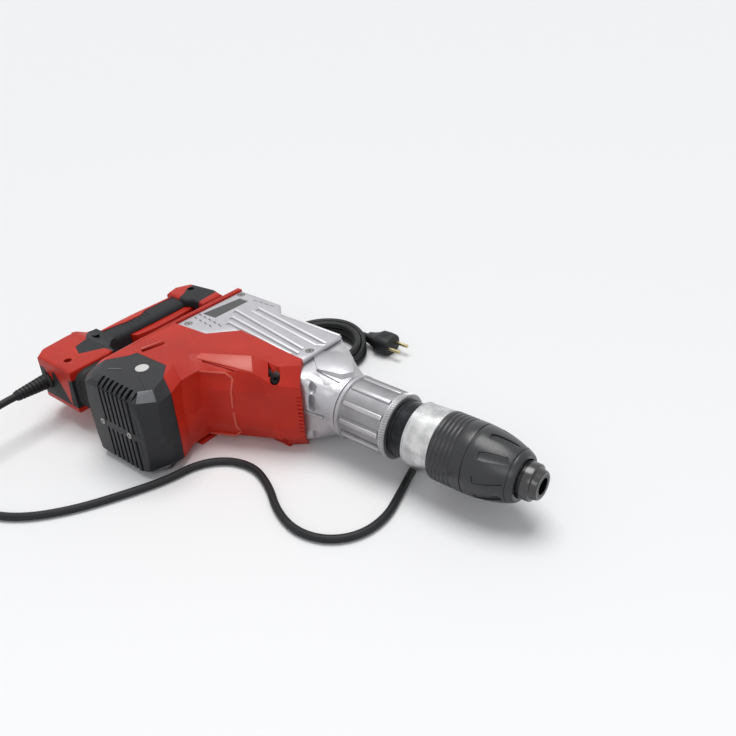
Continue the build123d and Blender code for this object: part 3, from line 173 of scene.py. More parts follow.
# %% Cord curve
cord_data = bpy.data.curves.new("power_cord", "CURVE")
cord_data.dimensions = "3D"
cord_data.resolution_u = 8
cord_data.bevel_depth = cord_radius * MM
cord_data.bevel_resolution = 4
cord_data.use_fill_caps = True
spline = cord_data.splines.new("NURBS")
spline.points.add(len(cord_points) - 1)
for spot, point in zip(spline.points, cord_points):
    spot.co = (*place(*point), 1)
spline.order_u = 3
spline.use_endpoint_u = True
power_cord = bpy.data.objects.new("power_cord", cord_data)
scene.collection.objects.link(power_cord)


def measure(obj):
    """Length in metres of a curve's own line, without its thickness."""
    bare = obj.data.copy()
    bare.bevel_depth = 0
    holder = bpy.data.objects.new("measure", bare)
    scene.collection.objects.link(holder)
    bpy.context.view_layer.update()
    ready = holder.evaluated_get(bpy.context.evaluated_depsgraph_get())
    line = bpy.data.meshes.new_from_object(ready)
    ends = ([line.vertices[k].co for k in edge.vertices] for edge in line.edges)
    length = sum((end - start).length for start, end in ends)
    bpy.data.objects.remove(holder)
    return length


cord_length = round(measure(power_cord), 3)
print("cord", cord_length, "m")

# %% [markdown]
# ## Floor and light
# A plain pale floor lies just under the rest pads. A studio's softboxes could be many area lamps,
# but one broad sun with very soft edges gives the same even fall of light, and a grey world fills
# the shadows. The background that the camera and glossy surfaces see is white.

# %% One function for nodes
def add(tree, kind, inputs=None, **settings):
    """Adds a node. Inputs are named or numbered sockets, given a value or another node's output."""
    made = tree.nodes.new(kind)
    for name, value in settings.items():
        setattr(made, name, value)
    for key, value in (inputs or {}).items():
        if isinstance(value, bpy.types.NodeSocket):
            tree.links.new(value, made.inputs[key])
        else:
            made.inputs[key].default_value = value
    return made


def srgb(code, alpha=1.0):
    """A linear colour from its sRGB hex code."""
    parts = [int(code[k:k + 2], 16) / 255 for k in (1, 3, 5)]
    return (*[c / 12.92 if c <= 0.04045 else ((c + 0.055) / 1.055) ** 2.4 for c in parts], alpha)


print("mid grey is", round(srgb("#808080")[0], 3), "in linear light")

# %% World
scene.view_settings.view_transform = "Standard"
world = bpy.data.worlds.new("studio")
scene.world = world
world.use_nodes = True
tree = world.node_tree
tree.nodes.clear()
seen = add(tree, "ShaderNodeLightPath")
either = add(tree, "ShaderNodeMath", {0: seen.outputs["Is Camera Ray"], 1: seen.outputs["Is Glossy Ray"]},
             operation="MAXIMUM")
direct = add(tree, "ShaderNodeMath", {0: either.outputs[0], 1: seen.outputs["Is Transmission Ray"]},
             operation="MAXIMUM")
fill = add(tree, "ShaderNodeBackground", {"Color": srgb("#F4F6FA"), "Strength": 0.42})
white = add(tree, "ShaderNodeBackground", {"Color": (1, 1, 1, 1), "Strength": 1.0})
mixed = add(tree, "ShaderNodeMixShader", {0: direct.outputs[0], 1: fill.outputs[0], 2: white.outputs[0]})
add(tree, "ShaderNodeOutputWorld", {"Surface": mixed.outputs[0]})
print("world:", len(tree.nodes), "nodes")


# %% Lamps
def lamp(name, kind, spot, energy, **settings):
    """A lamp at a spot in metres, turned to the middle of the tool."""
    data = bpy.data.lights.new(name, kind)
    data.energy = energy
    for key, value in settings.items():
        setattr(data, key, value)
    obj = bpy.data.objects.new(name, data)
    scene.collection.objects.link(obj)
    obj.location = spot
    obj.rotation_euler = (tool_middle - Vector(spot)).to_track_quat("-Z", "Y").to_euler()


tool_middle = Vector((-0.3, 0, 0))
lamp("overhead", "SUN", (-0.55, 0.25, 2.0), 1.9, angle=radians(38))
lamp("front_softbox", "AREA", (0.5, -1.1, 0.9), 3.0, shape="RECTANGLE", size=0.9, size_y=0.5)
print("lamps:", len(bpy.data.lights))

# %% Floor
floor_reach = 12.0
floor_z = (pad_z - 0.2) * MM
floor_corners = [(x, y, floor_z) for x, y in ((-floor_reach, -floor_reach), (floor_reach, -floor_reach),
                                              (floor_reach, floor_reach), (-floor_reach, floor_reach))]
floor_mesh = bpy.data.meshes.new("floor")
floor_mesh.from_pydata(floor_corners, [], [(0, 1, 2, 3)])
floor = bpy.data.objects.new("floor", floor_mesh)
scene.collection.objects.link(floor)
paper = bpy.data.materials.new("seamless_paper")
paper.use_nodes = True
paper_shader = paper.node_tree.nodes["Principled BSDF"]
paper_shader.inputs["Base Color"].default_value = srgb("#F3F3F3")
paper_shader.inputs["Roughness"].default_value = 0.9
paper_shader.inputs["Specular IOR Level"].default_value = 0.1
floor.data.materials.append(paper)
floor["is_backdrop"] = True
print("floor and light stand, floor at", round(floor_z, 4))

# %% [markdown]
# ## Materials
# Each material starts from what the real one is. The tool has three families of surface: moulded
# plastics and rubbers, cast metal, and metal that a tool has turned, ground or brushed. Flat
# colours would look like toys, and painted images would need a place on every piece, so the
# patterns are procedural. They read Object coordinates: grain, streaks and wear keep their real
# size in millimetres wherever a piece lies.

# %% Patterns
def scaled(tree, size_mm, stretch=(1, 1, 1)):
    """Object coordinates in which one unit is size_mm along each axis, times its stretch."""
    where = add(tree, "ShaderNodeTexCoord")
    scale = tuple(1 / (size_mm * MM * s) for s in stretch)
    return add(tree, "ShaderNodeMapping", {"Vector": where.outputs["Object"], "Scale": scale}).outputs[0]


def speckle(tree, vector, low, high, detail=3.0):
    """Noise that runs from 0 to 1 between its low and high values."""
    noise = add(tree, "ShaderNodeTexNoise", {"Vector": vector, "Scale": 1.0, "Detail": detail})
    spread = add(tree, "ShaderNodeMapRange", {"Value": noise.outputs[0], "From Min": low, "From Max": high})
    return spread.outputs[0]


def weathered(tree, clouds, colour, deep, specks, strength, speck_colour):
    """A tone that drifts from one colour to a deeper one, under faint specks of a third."""
    drift = add(tree, "ShaderNodeMix", {0: clouds, 6: srgb(colour), 7: srgb(deep)}, data_type="RGBA")
    faint = add(tree, "ShaderNodeMath", {0: specks, 1: strength}, operation="MULTIPLY")
    tone = add(tree, "ShaderNodeMix", {0: faint.outputs[0], 6: drift.outputs[2], 7: srgb(speck_colour)},
               data_type="RGBA")
    return tone.outputs[2]


def new_material(name):
    """An empty material and its tree."""
    made = bpy.data.materials.new(name)
    made.use_nodes = True
    made.node_tree.nodes.clear()
    return made, made.node_tree


def shade(tree, colour, roughness, height, depth_mm, **fixed):
    """The shader, on a bump whose height of 1 stands for depth_mm. Fixed values go on its own sockets."""
    bump = add(tree, "ShaderNodeBump", {"Height": height, "Strength": 1.0, "Distance": depth_mm * MM})
    inputs = {"Base Color": colour, "Roughness": roughness, "Normal": bump.outputs[0]}
    inputs.update({key.replace("_", " "): value for key, value in fixed.items()})
    surface = add(tree, "ShaderNodeBsdfPrincipled", inputs)
    add(tree, "ShaderNodeOutputMaterial", {"Surface": surface.outputs[0]})


print("patterns ready")

# %% Moulded, cast, machined: three families of surface
def moulded(name, colour, deep, pale, grain_mm, grain_depth, rough, **fixed):
    """A moulded skin: a fine grain, cloudy tone from flow, and pale specks of dust and scuffing."""
    made, tree = new_material(name)
    clouds = speckle(tree, scaled(tree, 38), 0.3, 0.7)
    grain = speckle(tree, scaled(tree, grain_mm), 0.3, 0.7, 2.0)
    scuffs = speckle(tree, scaled(tree, 9, (3, 1, 1)), 0.66, 0.82, 5.0)
    tone = weathered(tree, clouds, colour, deep, scuffs, 0.16, pale)
    gloss = add(tree, "ShaderNodeMath", {0: grain, 1: 0.10, 2: rough - 0.05}, operation="MULTIPLY_ADD")
    shade(tree, tone, gloss.outputs[0], grain, grain_depth, **fixed)
    return made


def cast(name, colour, deep, sand_mm, sand_depth, rough, metallic):
    """A cast or blasted skin: rounded sand grains, with darker stain in broad patches."""
    made, tree = new_material(name)
    clouds = speckle(tree, scaled(tree, 26), 0.35, 0.75, 4.0)
    sand = add(tree, "ShaderNodeTexVoronoi", {"Vector": scaled(tree, sand_mm), "Scale": 1.0})
    stains = speckle(tree, scaled(tree, 5), 0.6, 0.85, 6.0)
    tone = weathered(tree, clouds, colour, deep, stains, 0.14, "#6E7072")
    gloss = add(tree, "ShaderNodeMapRange", {"Value": clouds, "To Min": rough, "To Max": rough + 0.12})
    shade(tree, tone, gloss.outputs[0], sand.outputs["Distance"], sand_depth, Metallic=metallic)
    return made


def machined(name, colour, deep, line_mm, stretch, line_depth, rough, metallic=1.0):
    """A turned, ground or brushed skin: fine streaks along the way the tool moved."""
    made, tree = new_material(name)
    streaks = speckle(tree, scaled(tree, line_mm, stretch), 0.25, 0.75, 3.0)
    clouds = speckle(tree, scaled(tree, 14), 0.35, 0.7)
    both = add(tree, "ShaderNodeMath", {0: streaks, 1: 0.6, 2: clouds}, operation="MULTIPLY_ADD")
    share = add(tree, "ShaderNodeMapRange", {"Value": both.outputs[0], "To Min": -0.1, "To Max": 0.75})
    tone = add(tree, "ShaderNodeMix", {0: share.outputs[0], 6: srgb(colour), 7: srgb(deep)},
               data_type="RGBA")
    gloss = add(tree, "ShaderNodeMapRange", {"Value": streaks, "To Min": rough, "To Max": rough + 0.14})
    shade(tree, tone.outputs[2], gloss.outputs[0], streaks, line_depth, Metallic=metallic)
    return made


print("families ready")

# %% Plastics and rubbers
# Glass-filled nylon, injection moulded in a spark-eroded tool: satin, with a grain of 0.4 mm.
# The grain is drawn at 0.8 mm, because the real one is finer than the render shows.
red_nylon = moulded("red_nylon", "#BE2712", "#AB1F0E", "#D98A78", 0.8, 0.05, 0.46, Specular_IOR_Level=0.28)
# The same nylon with a polished tool on the raised facets; their lighter, paler colour is a painted sheen.
red_nylon_polished = moulded("red_nylon_polished", "#D0594A", "#C64F40", "#E0A090", 1.6, 0.02, 0.34,
                             Specular_IOR_Level=0.4)
# Black nylon of the cap and the parts behind it: charcoal, a little lighter where dusty.
black_nylon = moulded("black_nylon", "#232427", "#1A1B1E", "#5E6064", 0.8, 0.06, 0.46,
                      Specular_IOR_Level=0.3)
# The sleeve's nylon is rubbed smooth by hands, and shines along its length.
sleeve_nylon = moulded("sleeve_nylon", "#242528", "#1B1C1F", "#686A6E", 1.2, 0.012, 0.32,
                       Specular_IOR_Level=0.55)
# Grey nylon of the cap's small trims: smooth, with hardly any grain. Its grey on the cap's front corner
# patch is a painted highlight.
grey_nylon = moulded("grey_nylon", "#66686B", "#595B5E", "#8A8B8C", 0.5, 0.01, 0.30)
# Bare pale disc on the cap.
pale_nylon = moulded("pale_nylon", "#D9D9D6", "#CDCDCA", "#B4B4B0", 2.0, 0.01, 0.36)
# Polycarbonate film of the bare label areas: dark grey and smooth.
label_film = moulded("bare_label", "#3A3B3C", "#303132", "#5C5E60", 2.0, 0.01, 0.30)
# Glossy lip of the dust seal.
lip_rubber = moulded("lip_rubber", "#1E1F22", "#17181A", "#5C5E62", 1.6, 0.02, 0.20, Specular_IOR_Level=0.8)
# Overmoulded thermoplastic rubber: darker and matt, with a fine leather-like grain.
grip_rubber = moulded("grip_rubber", "#202225", "#18191C", "#505356", 1.1, 0.10, 0.60,
                      Specular_IOR_Level=0.25)
# Vulcanised bellows and cord jacket, smooth but dull, with talc left in the folds.
jacket_rubber = moulded("jacket_rubber", "#1D1E20", "#151618", "#606264", 2.0, 0.03, 0.50,
                        Specular_IOR_Level=0.3)
# Filled seals of the percussion line.
seal_nylon = moulded("seal_nylon", "#D8D2BE", "#C6BEA6", "#EDE8DA", 1.0, 0.03, 0.40)
# Pressed carbon: grey-black, with sparkling grains.
brush_carbon = moulded("brush_carbon", "#2E2F31", "#1C1C1E", "#77787A", 0.6, 0.05, 0.50)
print("plastics and rubbers:", len(bpy.data.materials) - 1)

# %% Metals
# Aluminium die casting, shot blasted and clear-sealed: light grey and satin. Its grains of 0.7 mm
# are drawn at 1 mm, so that they show.
blasted_aluminium = cast("blasted_aluminium", "#B7B6B9", "#A5A4A8", 1.0, 0.08, 0.33, 0.82)
# The neck is the same casting made darker: painted shade on the tube recessed between its ribs.
dull_aluminium = cast("dull_aluminium", "#98979A", "#838285", 1.0, 0.12, 0.38, 0.82)
# Silver lacquer over the cast side covers: smoother and paler than the bare casting.
silver_lacquer = cast("silver_lacquer", "#BBBABE", "#ADACB0", 1.3, 0.02, 0.40, 0.55)
# The same lacquer, much paler on ribs and edges: a painted highlight.
rubbed_silver = cast("rubbed_silver", "#E6E6E8", "#D8D8DB", 1.3, 0.02, 0.34, 0.40)
# Raw sand-cast pieces inside.
raw_casting = cast("raw_casting", "#9A9C9E", "#7E8082", 1.4, 0.12, 0.50, 0.85)
# Turned aluminium ring, brushed round its axis: streaks of 0.4 mm, drawn at 0.7 mm.
brushed_ring = machined("brushed_ring", "#DADAD9", "#A3A4A7", 0.7, (1, 22, 22), 0.02, 0.26)
# Ground and hardened steel: bright, cool and smooth.
ground_steel = machined("ground_steel", "#C3C6CA", "#94979C", 0.6, (1, 14, 14), 0.01, 0.20)
# Blackened steel of the collar, the tool holder and the screws: oily black with a sharp gloss.
black_oxide = machined("black_oxide", "#333538", "#1A1B1D", 0.9, (1, 18, 18), 0.01, 0.24, 0.9)
# Drawn spring wire.
spring_wire = machined("spring_wire", "#8F9296", "#5E6165", 0.5, (6, 1, 1), 0.01, 0.28)
# Zinc-plated pressings, a little yellow.
zinc_plate = machined("zinc_plate", "#A9A9A6", "#7F8080", 1.5, (3, 3, 1), 0.01, 0.33)
# Stacked sheets of electrical steel, 0.5 mm each, drawn at 1 mm so that the stack shows.
steel_stack = machined("steel_stack", "#7C7E80", "#3E4042", 1.0, (40, 1, 40), 0.10, 0.40)
# Enamelled copper wire, wound in layers of 0.9 mm.
enamelled_copper = machined("enamelled_copper", "#B8682E", "#6E3414", 0.9, (30, 1, 30), 0.25, 0.30)
# Nickel-plated brass pins of the plug.
plated_brass = machined("plated_brass", "#D8CFA8", "#AFA47A", 0.6, (8, 1, 1), 0.01, 0.22)
print("materials:", len(bpy.data.materials))

# %% [markdown]
# ## Inner works
# The motor, the crank drive and the percussion line lie inside the casings, and little of them
# shows from outside. They could be modelled again in detail, but the CAD's own meshes are enough,
# with the finish that a mechanic would find: ground steel on what runs, raw castings round it, and
# copper in the windings.

# %% Which CAD node shows which material
node_materials = {
    black_nylon: ["fan_baffle", "end_bracket", "cooling_fan", "switch_module"],
    raw_casting: ["bearing_flange", "piston", "connecting_rod"],
    black_oxide: ["circlip", "release_ring", "handle_screws", "tool_holder"],
    ground_steel: ["guide_cylinder", "crank_bearings", "motor_bearings", "guide_pins", "armature_shaft",
                   "crank_shaft", "crank_gear", "wrist_pin", "crank_pin", "striker", "impact_bolt",
                   "locking_roller_right", "locking_roller_left", "trigger_pin"],
    spring_wire: ["sleeve_spring", "brush_springs"],
    steel_stack: ["stator", "armature_core"],
    enamelled_copper: ["field_coils", "armature_windings", "commutator"],
    zinc_plate: ["brush_holders"],
    brush_carbon: ["carbon_brushes"],
    seal_nylon: ["piston_ring", "striker_ring"],
}
for material, names in node_materials.items():
    for name in names:
        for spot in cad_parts[name].material_slots:
            spot.material = material
print("nodes with new materials:", sum(len(names) for names in node_materials.values()))

# %% [markdown]
# ## Mesh helpers
# Most outer pieces are closed solids: an outline stacked through a few heights, a profile turned
# round the barrel, or a bar between two points. Sculpting or subdividing a box would make the same
# forms, but points in millimetres can be read and changed. Cuts are exact booleans whose result is
# kept as a plain mesh. A bevel gives each moulded or cast edge the small radius that catches the
# light.

# %% Plain meshes
def keep_mesh(obj):
    """Turns the object's modifiers into its plain mesh."""
    bpy.context.view_layer.update()
    ready = obj.evaluated_get(bpy.context.evaluated_depsgraph_get())
    obj.data = bpy.data.meshes.new_from_object(ready)
    obj.modifiers.clear()


def mend(obj):
    """Merges doubles and turns the faces outwards."""
    work = bmesh.new()
    work.from_mesh(obj.data)
    bmesh.ops.remove_doubles(work, verts=work.verts, dist=2e-6)
    bmesh.ops.recalc_face_normals(work, faces=work.faces)
    work.to_mesh(obj.data)
    work.free()
    return obj


def linked(name, mesh):
    """A new object in the scene that shows a mesh."""
    obj = bpy.data.objects.new(name, mesh)
    scene.collection.objects.link(obj)
    return obj


def solid(name, points, faces):
    """A closed mesh from points in millimetres."""
    mesh = bpy.data.meshes.new(name)
    mesh.from_pydata([place(*p) for p in points], [], faces)
    return mend(linked(name, mesh))


print("plain mesh helpers ready")


# %% Outlines
def circle(radius, count):
    """Points (a, b) round a circle."""
    return [(radius * cos(2 * pi * k / count), radius * sin(2 * pi * k / count)) for k in range(count)]


def soft_corners(half_a, half_b, power, count):
    """Points (a, b) round a rectangle with rounded corners: the lower the power, the squarer."""
    return [(half_a * abs(a) ** power * (1 if a >= 0 else -1),
             half_b * abs(b) ** power * (1 if b >= 0 else -1)) for a, b in circle(1.0, count)]


print("a soft corner at 45 degrees:", [round(v, 2) for v in soft_corners(1, 1, 0.5, 8)[1]])


# %% Stacked and turned solids
def stack(name, levels, closed=True):
    """Outlines with the same number of points, joined one to the next and closed at both ends."""
    count = len(levels[0])
    points = [p for level in levels for p in level]
    faces = []
    for k in range(len(levels) - 1):
        for i in range(count):
            j = (i + 1) % count
            faces.append((k * count + i, k * count + j, (k + 1) * count + j, (k + 1) * count + i))
    if closed:
        last = (len(levels) - 1) * count
        faces += [tuple(range(count)), tuple(range(last + count - 1, last - 1, -1))]
    return solid(name, points, faces)


def prism(name, outline, low, high):
    """A plate with an outline of (x, y) points, from one height to another."""
    return stack(name, [[(x, y, z) for x, y in outline] for z in (low, high)])


def turned(name, outline, steps=96):
    """A closed outline of (x, radius) points turned round the barrel's axis."""
    count = len(outline)
    points, faces = [], []
    for k in range(steps):
        angle = 2 * pi * k / steps
        after = (k + 1) % steps
        points += [(x, r * cos(angle), r * sin(angle)) for x, r in outline]
        for i in range(count):
            j = (i + 1) % count
            faces.append((k * count + i, k * count + j, after * count + j, after * count + i))
    return solid(name, points, faces)


print("stacks and turned solids ready")


# %% Bars and struts
def bar(name, start, end, radius, end_radius=None, sides=32):
    """A round bar or cone between two points."""
    start, end = Vector(start), Vector(end)
    turn = (end - start).to_track_quat("Z", "Y")
    levels = []
    for spot, size in ((start, radius), (end, radius if end_radius is None else end_radius)):
        levels.append([tuple(spot + turn @ Vector((a, b, 0))) for a, b in circle(size, sides)])
    return stack(name, levels)


def strut(name, start, end, width, height, up=(0, 0, 1), end_width=None):
    """A straight box along a line: width across, height along up, centred on the line."""
    start, end, up = Vector(start), Vector(end), Vector(up).normalized()
    side = (end - start).normalized().cross(up).normalized()
    corners = ((-1, -1), (1, -1), (1, 1), (-1, 1))
    levels = []
    for spot, size in ((start, width), (end, width if end_width is None else end_width)):
        levels.append([tuple(spot + side * (a * size / 2) + up * (b * height / 2)) for a, b in corners])
    return stack(name, levels)


print("bars and struts ready")


# %% Cuts and edges
def carve(obj, tools, operation="DIFFERENCE"):
    """Cuts each tool out of a piece, or joins or keeps what they share, and removes the tools."""
    for tool in tools:
        cut = obj.modifiers.new("cut", "BOOLEAN")
        cut.operation = operation
        cut.solver = "EXACT"
        cut.object = tool
    keep_mesh(obj)
    for tool in tools:
        bpy.data.objects.remove(tool)
    return mend(obj)


def bevelled(obj, width, segments=2, limit=32):
    """Rounds the edges that turn by more than the limit, in degrees."""
    edge = obj.modifiers.new("edge", "BEVEL")
    edge.width = width * MM
    edge.segments = segments
    edge.limit_method = "ANGLE"
    edge.angle_limit = radians(limit)
    edge.use_clamp_overlap = True
    edge.miter_outer = "MITER_ARC"
    keep_mesh(obj)
    return obj


def softened(obj, limit=34):
    """Smooth shading that breaks at edges sharper than the limit, in degrees."""
    work = bmesh.new()
    work.from_mesh(obj.data)
    for face in work.faces:
        face.smooth = True
    for edge in work.edges:
        edge.smooth = len(edge.link_faces) == 2 and edge.calc_face_angle(0) < radians(limit)
    work.to_mesh(obj.data)
    work.free()
    return obj


print("cuts and edges ready")


# %% Copies and sides
def gathered(name, parts):
    """One object that holds several closed meshes."""
    work = bmesh.new()
    for part in parts:
        work.from_mesh(part.data)
    mesh = bpy.data.meshes.new(name)
    work.to_mesh(mesh)
    work.free()
    for part in parts:
        bpy.data.objects.remove(part)
    return linked(name, mesh)


def copied(obj, name):
    """A copy of a piece."""
    return linked(name, obj.data.copy())


def mirrored(obj):
    """Turns a piece for the right side into one for the left."""
    obj.data.transform(Matrix.Scale(-1, 4, (0, 0, 1)))
    return mend(obj)


def from_node(node, name):
    """A merged copy of a CAD node's mesh, in the object's frame."""
    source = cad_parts[node]
    twin = linked(name, source.data.copy())
    twin.data.transform(source.matrix_world)
    twin.data.materials.clear()
    work = bmesh.new()
    work.from_mesh(twin.data)
    bmesh.ops.remove_doubles(work, verts=work.verts, dist=1e-6)
    bmesh.ops.dissolve_limit(work, angle_limit=radians(0.5), verts=work.verts, edges=work.edges)
    work.to_mesh(twin.data)
    work.free()
    return twin


print("copies ready")


# %% Finishing a piece
def install(obj, body, slot, material, *nodes):
    """Gives a finished piece its material and body, and hides the CAD nodes that it stands for. Its slot is
    not used.
    """
    obj.data.materials.clear()
    obj.data.materials.append(material)
    for face in obj.data.polygons:
        face.material_index = 0
    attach(obj, body)
    if nodes:
        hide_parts(*nodes)
    print(f"{obj.name}: {len(obj.data.polygons)} faces on {body}")


print("all helpers ready")

# %% [markdown]
# ## What repeats
# Ribs, rings, slots and screws repeat. An Array modifier could copy them in a row, but not round
# the barrel with a named turn, so one Geometry Nodes tree makes them all: it puts copies of a
# pattern piece, each moved and turned on from the last, and ends in one plain mesh.

# %% The start and end of each tree
def new_tree(name, inputs):
    """An empty Geometry Nodes tree, with its named inputs and the node that gives their values."""
    tree = bpy.data.node_groups.new(name, "GeometryNodeTree")
    for socket, kind in inputs:
        tree.interface.new_socket(socket, in_out="INPUT", socket_type="NodeSocket" + kind)
    tree.interface.new_socket("Geometry", in_out="OUTPUT", socket_type="NodeSocketGeometry")
    return tree, add(tree, "NodeGroupInput").outputs


def plain_copies(tree, given, points, rotation=None):
    """Puts the pattern on the points and ends the tree in real copies with a material."""
    pattern = add(tree, "GeometryNodeObjectInfo", {"Object": given["Pattern"]})
    inputs = {"Points": points, "Instance": pattern.outputs["Geometry"]}
    if rotation:
        inputs["Rotation"] = rotation
    copies = add(tree, "GeometryNodeInstanceOnPoints", inputs)
    real = add(tree, "GeometryNodeRealizeInstances", {0: copies.outputs[0]})
    painted = add(tree, "GeometryNodeSetMaterial",
                  {"Geometry": real.outputs[0], "Material": given["Material"]})
    add(tree, "NodeGroupOutput", {0: painted.outputs[0]})


def run_tree(name, mesh, tree, pattern, **values):
    """The plain mesh that a tree makes. Its inputs are found by name and set by identifier."""
    obj = linked(name, mesh)
    modifier = obj.modifiers.new("tree", "NODES")
    modifier.node_group = tree
    values["Pattern"] = pattern
    for item in tree.interface.items_tree:
        value = values.get(item.name.replace(" ", "_")) if item.in_out == "INPUT" else None
        if value is not None:
            modifier[item.identifier] = value
    keep_mesh(obj)
    bpy.data.objects.remove(pattern)
    return mend(obj)


print("tree helpers ready")


# %% The repeating tree
def repeating_tree():
    """Copies of a pattern, each shifted and turned round X from the last."""
    tree, given = new_tree("repeated_pattern", (
        ("Geometry", "Geometry"), ("Pattern", "Object"), ("Count", "Int"), ("First", "Vector"),
        ("Shift", "Vector"), ("Start angle", "Float"), ("Turn", "Float"), ("Material", "Material")))
    index = add(tree, "GeometryNodeInputIndex").outputs[0]
    step = add(tree, "ShaderNodeVectorMath", {0: given["Shift"], "Scale": index}, operation="SCALE")
    spot = add(tree, "ShaderNodeVectorMath", {0: given["First"], 1: step.outputs[0]}, operation="ADD")
    points = add(tree, "GeometryNodePoints", {"Count": given["Count"], "Position": spot.outputs[0]})
    angle = add(tree, "ShaderNodeMath", {0: index, 1: given["Turn"], 2: given["Start angle"]},
                operation="MULTIPLY_ADD")
    about = add(tree, "ShaderNodeCombineXYZ", {"X": angle.outputs[0]})
    plain_copies(tree, given, points.outputs[0], about.outputs[0])
    return tree


repeat_tree = repeating_tree()


def repeated(name, pattern, count, first=(0, 0, 0), shift=(0, 0, 0), start=0.0, turn=0.0, material=None):
    """Copies of a pattern piece: each is shifted (mm) and turned round X (degrees) from the last."""
    return run_tree(name, bpy.data.meshes.new(name), repeat_tree, pattern, Count=count,
                    First=tuple(place(*first)), Shift=tuple(place(*shift)),
                    Start_angle=radians(start), Turn=radians(turn), Material=material)


print("repeating tree:", len(repeat_tree.nodes), "nodes")

# %% [markdown]
# ## Red housing and black vent cap
# The motor's housing is two moulded shells with flat facets and hard creases, and its end is a
# black vent cap. Modelled one by one they would not meet, so both are cut from one form and their
# faces run on into each other. Columns of points stand round the outline, each with a place at the
# parting plane, at the wall's shoulder, at the facet's upper edge and on the flat side. The walls
# swell towards the parting plane.

# %% The body's columns
# Each column: (x, y) at the parting plane, shoulder (x, y, z), upper edge (x, y, z), side (x, y).
body_columns = [
    ((-489.6, 64), (-489.6, 64, 47), (-488.4, 64, 51), (-485, 64)),
    ((-407.6, 64), (-407.6, 64, 47), (-407.6, 64, 50), (-407.6, 64)),
    ((-391.6, 48), (-391.6, 48, 47), (-391.6, 48, 50), (-391.6, 48)),
    ((-291.6, 48), (-291.6, 48, 47), (-291.6, 48, 50), (-291.6, 48)),
    ((-290.0, -21), (-290.5, -21, 40), (-291, -21, 45), (-292.5, -21)),
    ((-273.5, -47), (-275.6, -45, 34.5), (-277.2, -43, 37), (-284, -32)),
    ((-303, -64), (-303, -61, 36), (-303, -59.8, 38), (-303, -48)),
    ((-325, -74), (-326, -65, 38), (-327, -63, 44), (-343, -47)),
    ((-343.6, -82.6), (-347, -73, 36), (-344.6, -69, 45.2), (-351, -52.6)),
    ((-345.6, -85.6), (-349, -75.6, 36.4), (-346.4, -69.8, 45.6), (-352.4, -53.5)),
    ((-352, -89), (-356, -78, 44), (-366, -75.4, 47), (-371, -61.5)),
    ((-368, -95.5), (-372, -86, 44), (-388, -83.5, 49), (-397, -77)),
    ((-380, -101), (-385, -92, 44), (-399, -91, 50.5), (-407, -88)),
    ((-379.5, -127), (-385, -119, 44), (-395, -115.5, 49.4), (-405, -112)),
    ((-371.6, -145), (-373.6, -143, 44), (-383, -139.5, 49.4), (-392, -136)),
    ((-372.2, -165), (-373.6, -161, 41), (-378, -159, 47), (-382.3, -156.5)),
    ((-380.5, -182), (-386, -182, 45), (-390, -176, 50), (-394.5, -169.6)),
    ((-399.6, -185), (-399.6, -185, 47), (-400, -180, 51.6), (-400.5, -172.5)),
    ((-474, -185), (-470, -185, 46), (-463, -180.5, 51), (-455, -172.5)),
    ((-489, -172), (-486, -172, 43), (-480, -167, 50), (-472, -160)),
    ((-489.6, -150), (-489.6, -150, 45), (-488.4, -149, 50), (-481, -146)),
    ((-489.6, -60), (-489.6, -60, 47), (-488.4, -60, 51), (-485, -60)),
]
# Columns that stand too close to a neighbour for the hollow to need them.
close_columns = (8, 9, 15, 19)
print("columns:", len(body_columns))

# %% The body's levels
side_z = limits("housing_right")[1][2]
# The wall swells: at this height it has come only this share of its way in to the shoulder.
swell_z = 24.0
swell_share = 0.28
wall = 3.2


def thinner(level, thickness):
    """One outline moved inwards, its lowest level a little past the parting plane."""
    inner = []
    for i, point in enumerate(level):
        before, after = Vector(level[i - 1][:2]), Vector(level[(i + 1) % len(level)][:2])
        here = Vector(point[:2])
        one, two = (here - before).normalized(), (after - here).normalized()
        inward = Vector((one.y + two.y, -one.x - two.x))
        inward = inward.normalized() if inward.length > 0.2 else Vector((one.y, -one.x))
        spread = max(inward.dot(Vector((one.y, -one.x))), 0.5)
        spot = here + inward * (thickness / spread)
        height = min(point[2] * 0.97, side_z - thickness) if point[2] else -2.0
        inner.append((spot.x, spot.y, height))
    return inner


def body_levels(thickness=0.0):
    """The form's outlines from the parting plane up, moved inwards by a wall's thickness."""
    columns = [c for k, c in enumerate(body_columns) if not (thickness and k in close_columns)]
    swollen = [(a[0] + swell_share * (b[0] - a[0]), a[1] + swell_share * (b[1] - a[1]), swell_z)
               for a, b, *_ in columns]
    levels = [[(*foot, 0.0) for foot, *_ in columns], swollen, [b for a, b, c, d in columns],
              [c for a, b, c, d in columns], [(*d, side_z) for a, b, c, d in columns]]
    return [thinner(level, thickness) for level in levels] if thickness else levels


half_form = stack("half_form", body_levels())
half_hollow = stack("half_hollow", body_levels(wall))
print("form:", len(half_form.data.polygons), "faces")


# %% Where the covers and the cap part from the shells
def grown(outline, amount):
    """An outline of (x, y) points moved outwards by an amount, its corners kept sharp."""
    area = sum(a[0] * b[1] - b[0] * a[1] for a, b in zip(outline, outline[1:] + outline[:1]))
    sign = 1 if area > 0 else -1
    points = []
    for i, here in enumerate(outline):
        here = Vector(here)
        one = (here - Vector(outline[i - 1])).normalized()
        two = (Vector(outline[(i + 1) % len(outline)]) - here).normalized()
        out_one, out_two = Vector((one.y, -one.x)) * sign, Vector((two.y, -two.x)) * sign
        middle = (out_one + out_two).normalized()
        points.append(tuple(here + middle * (amount / max(middle.dot(out_one), 0.35))))
    return points


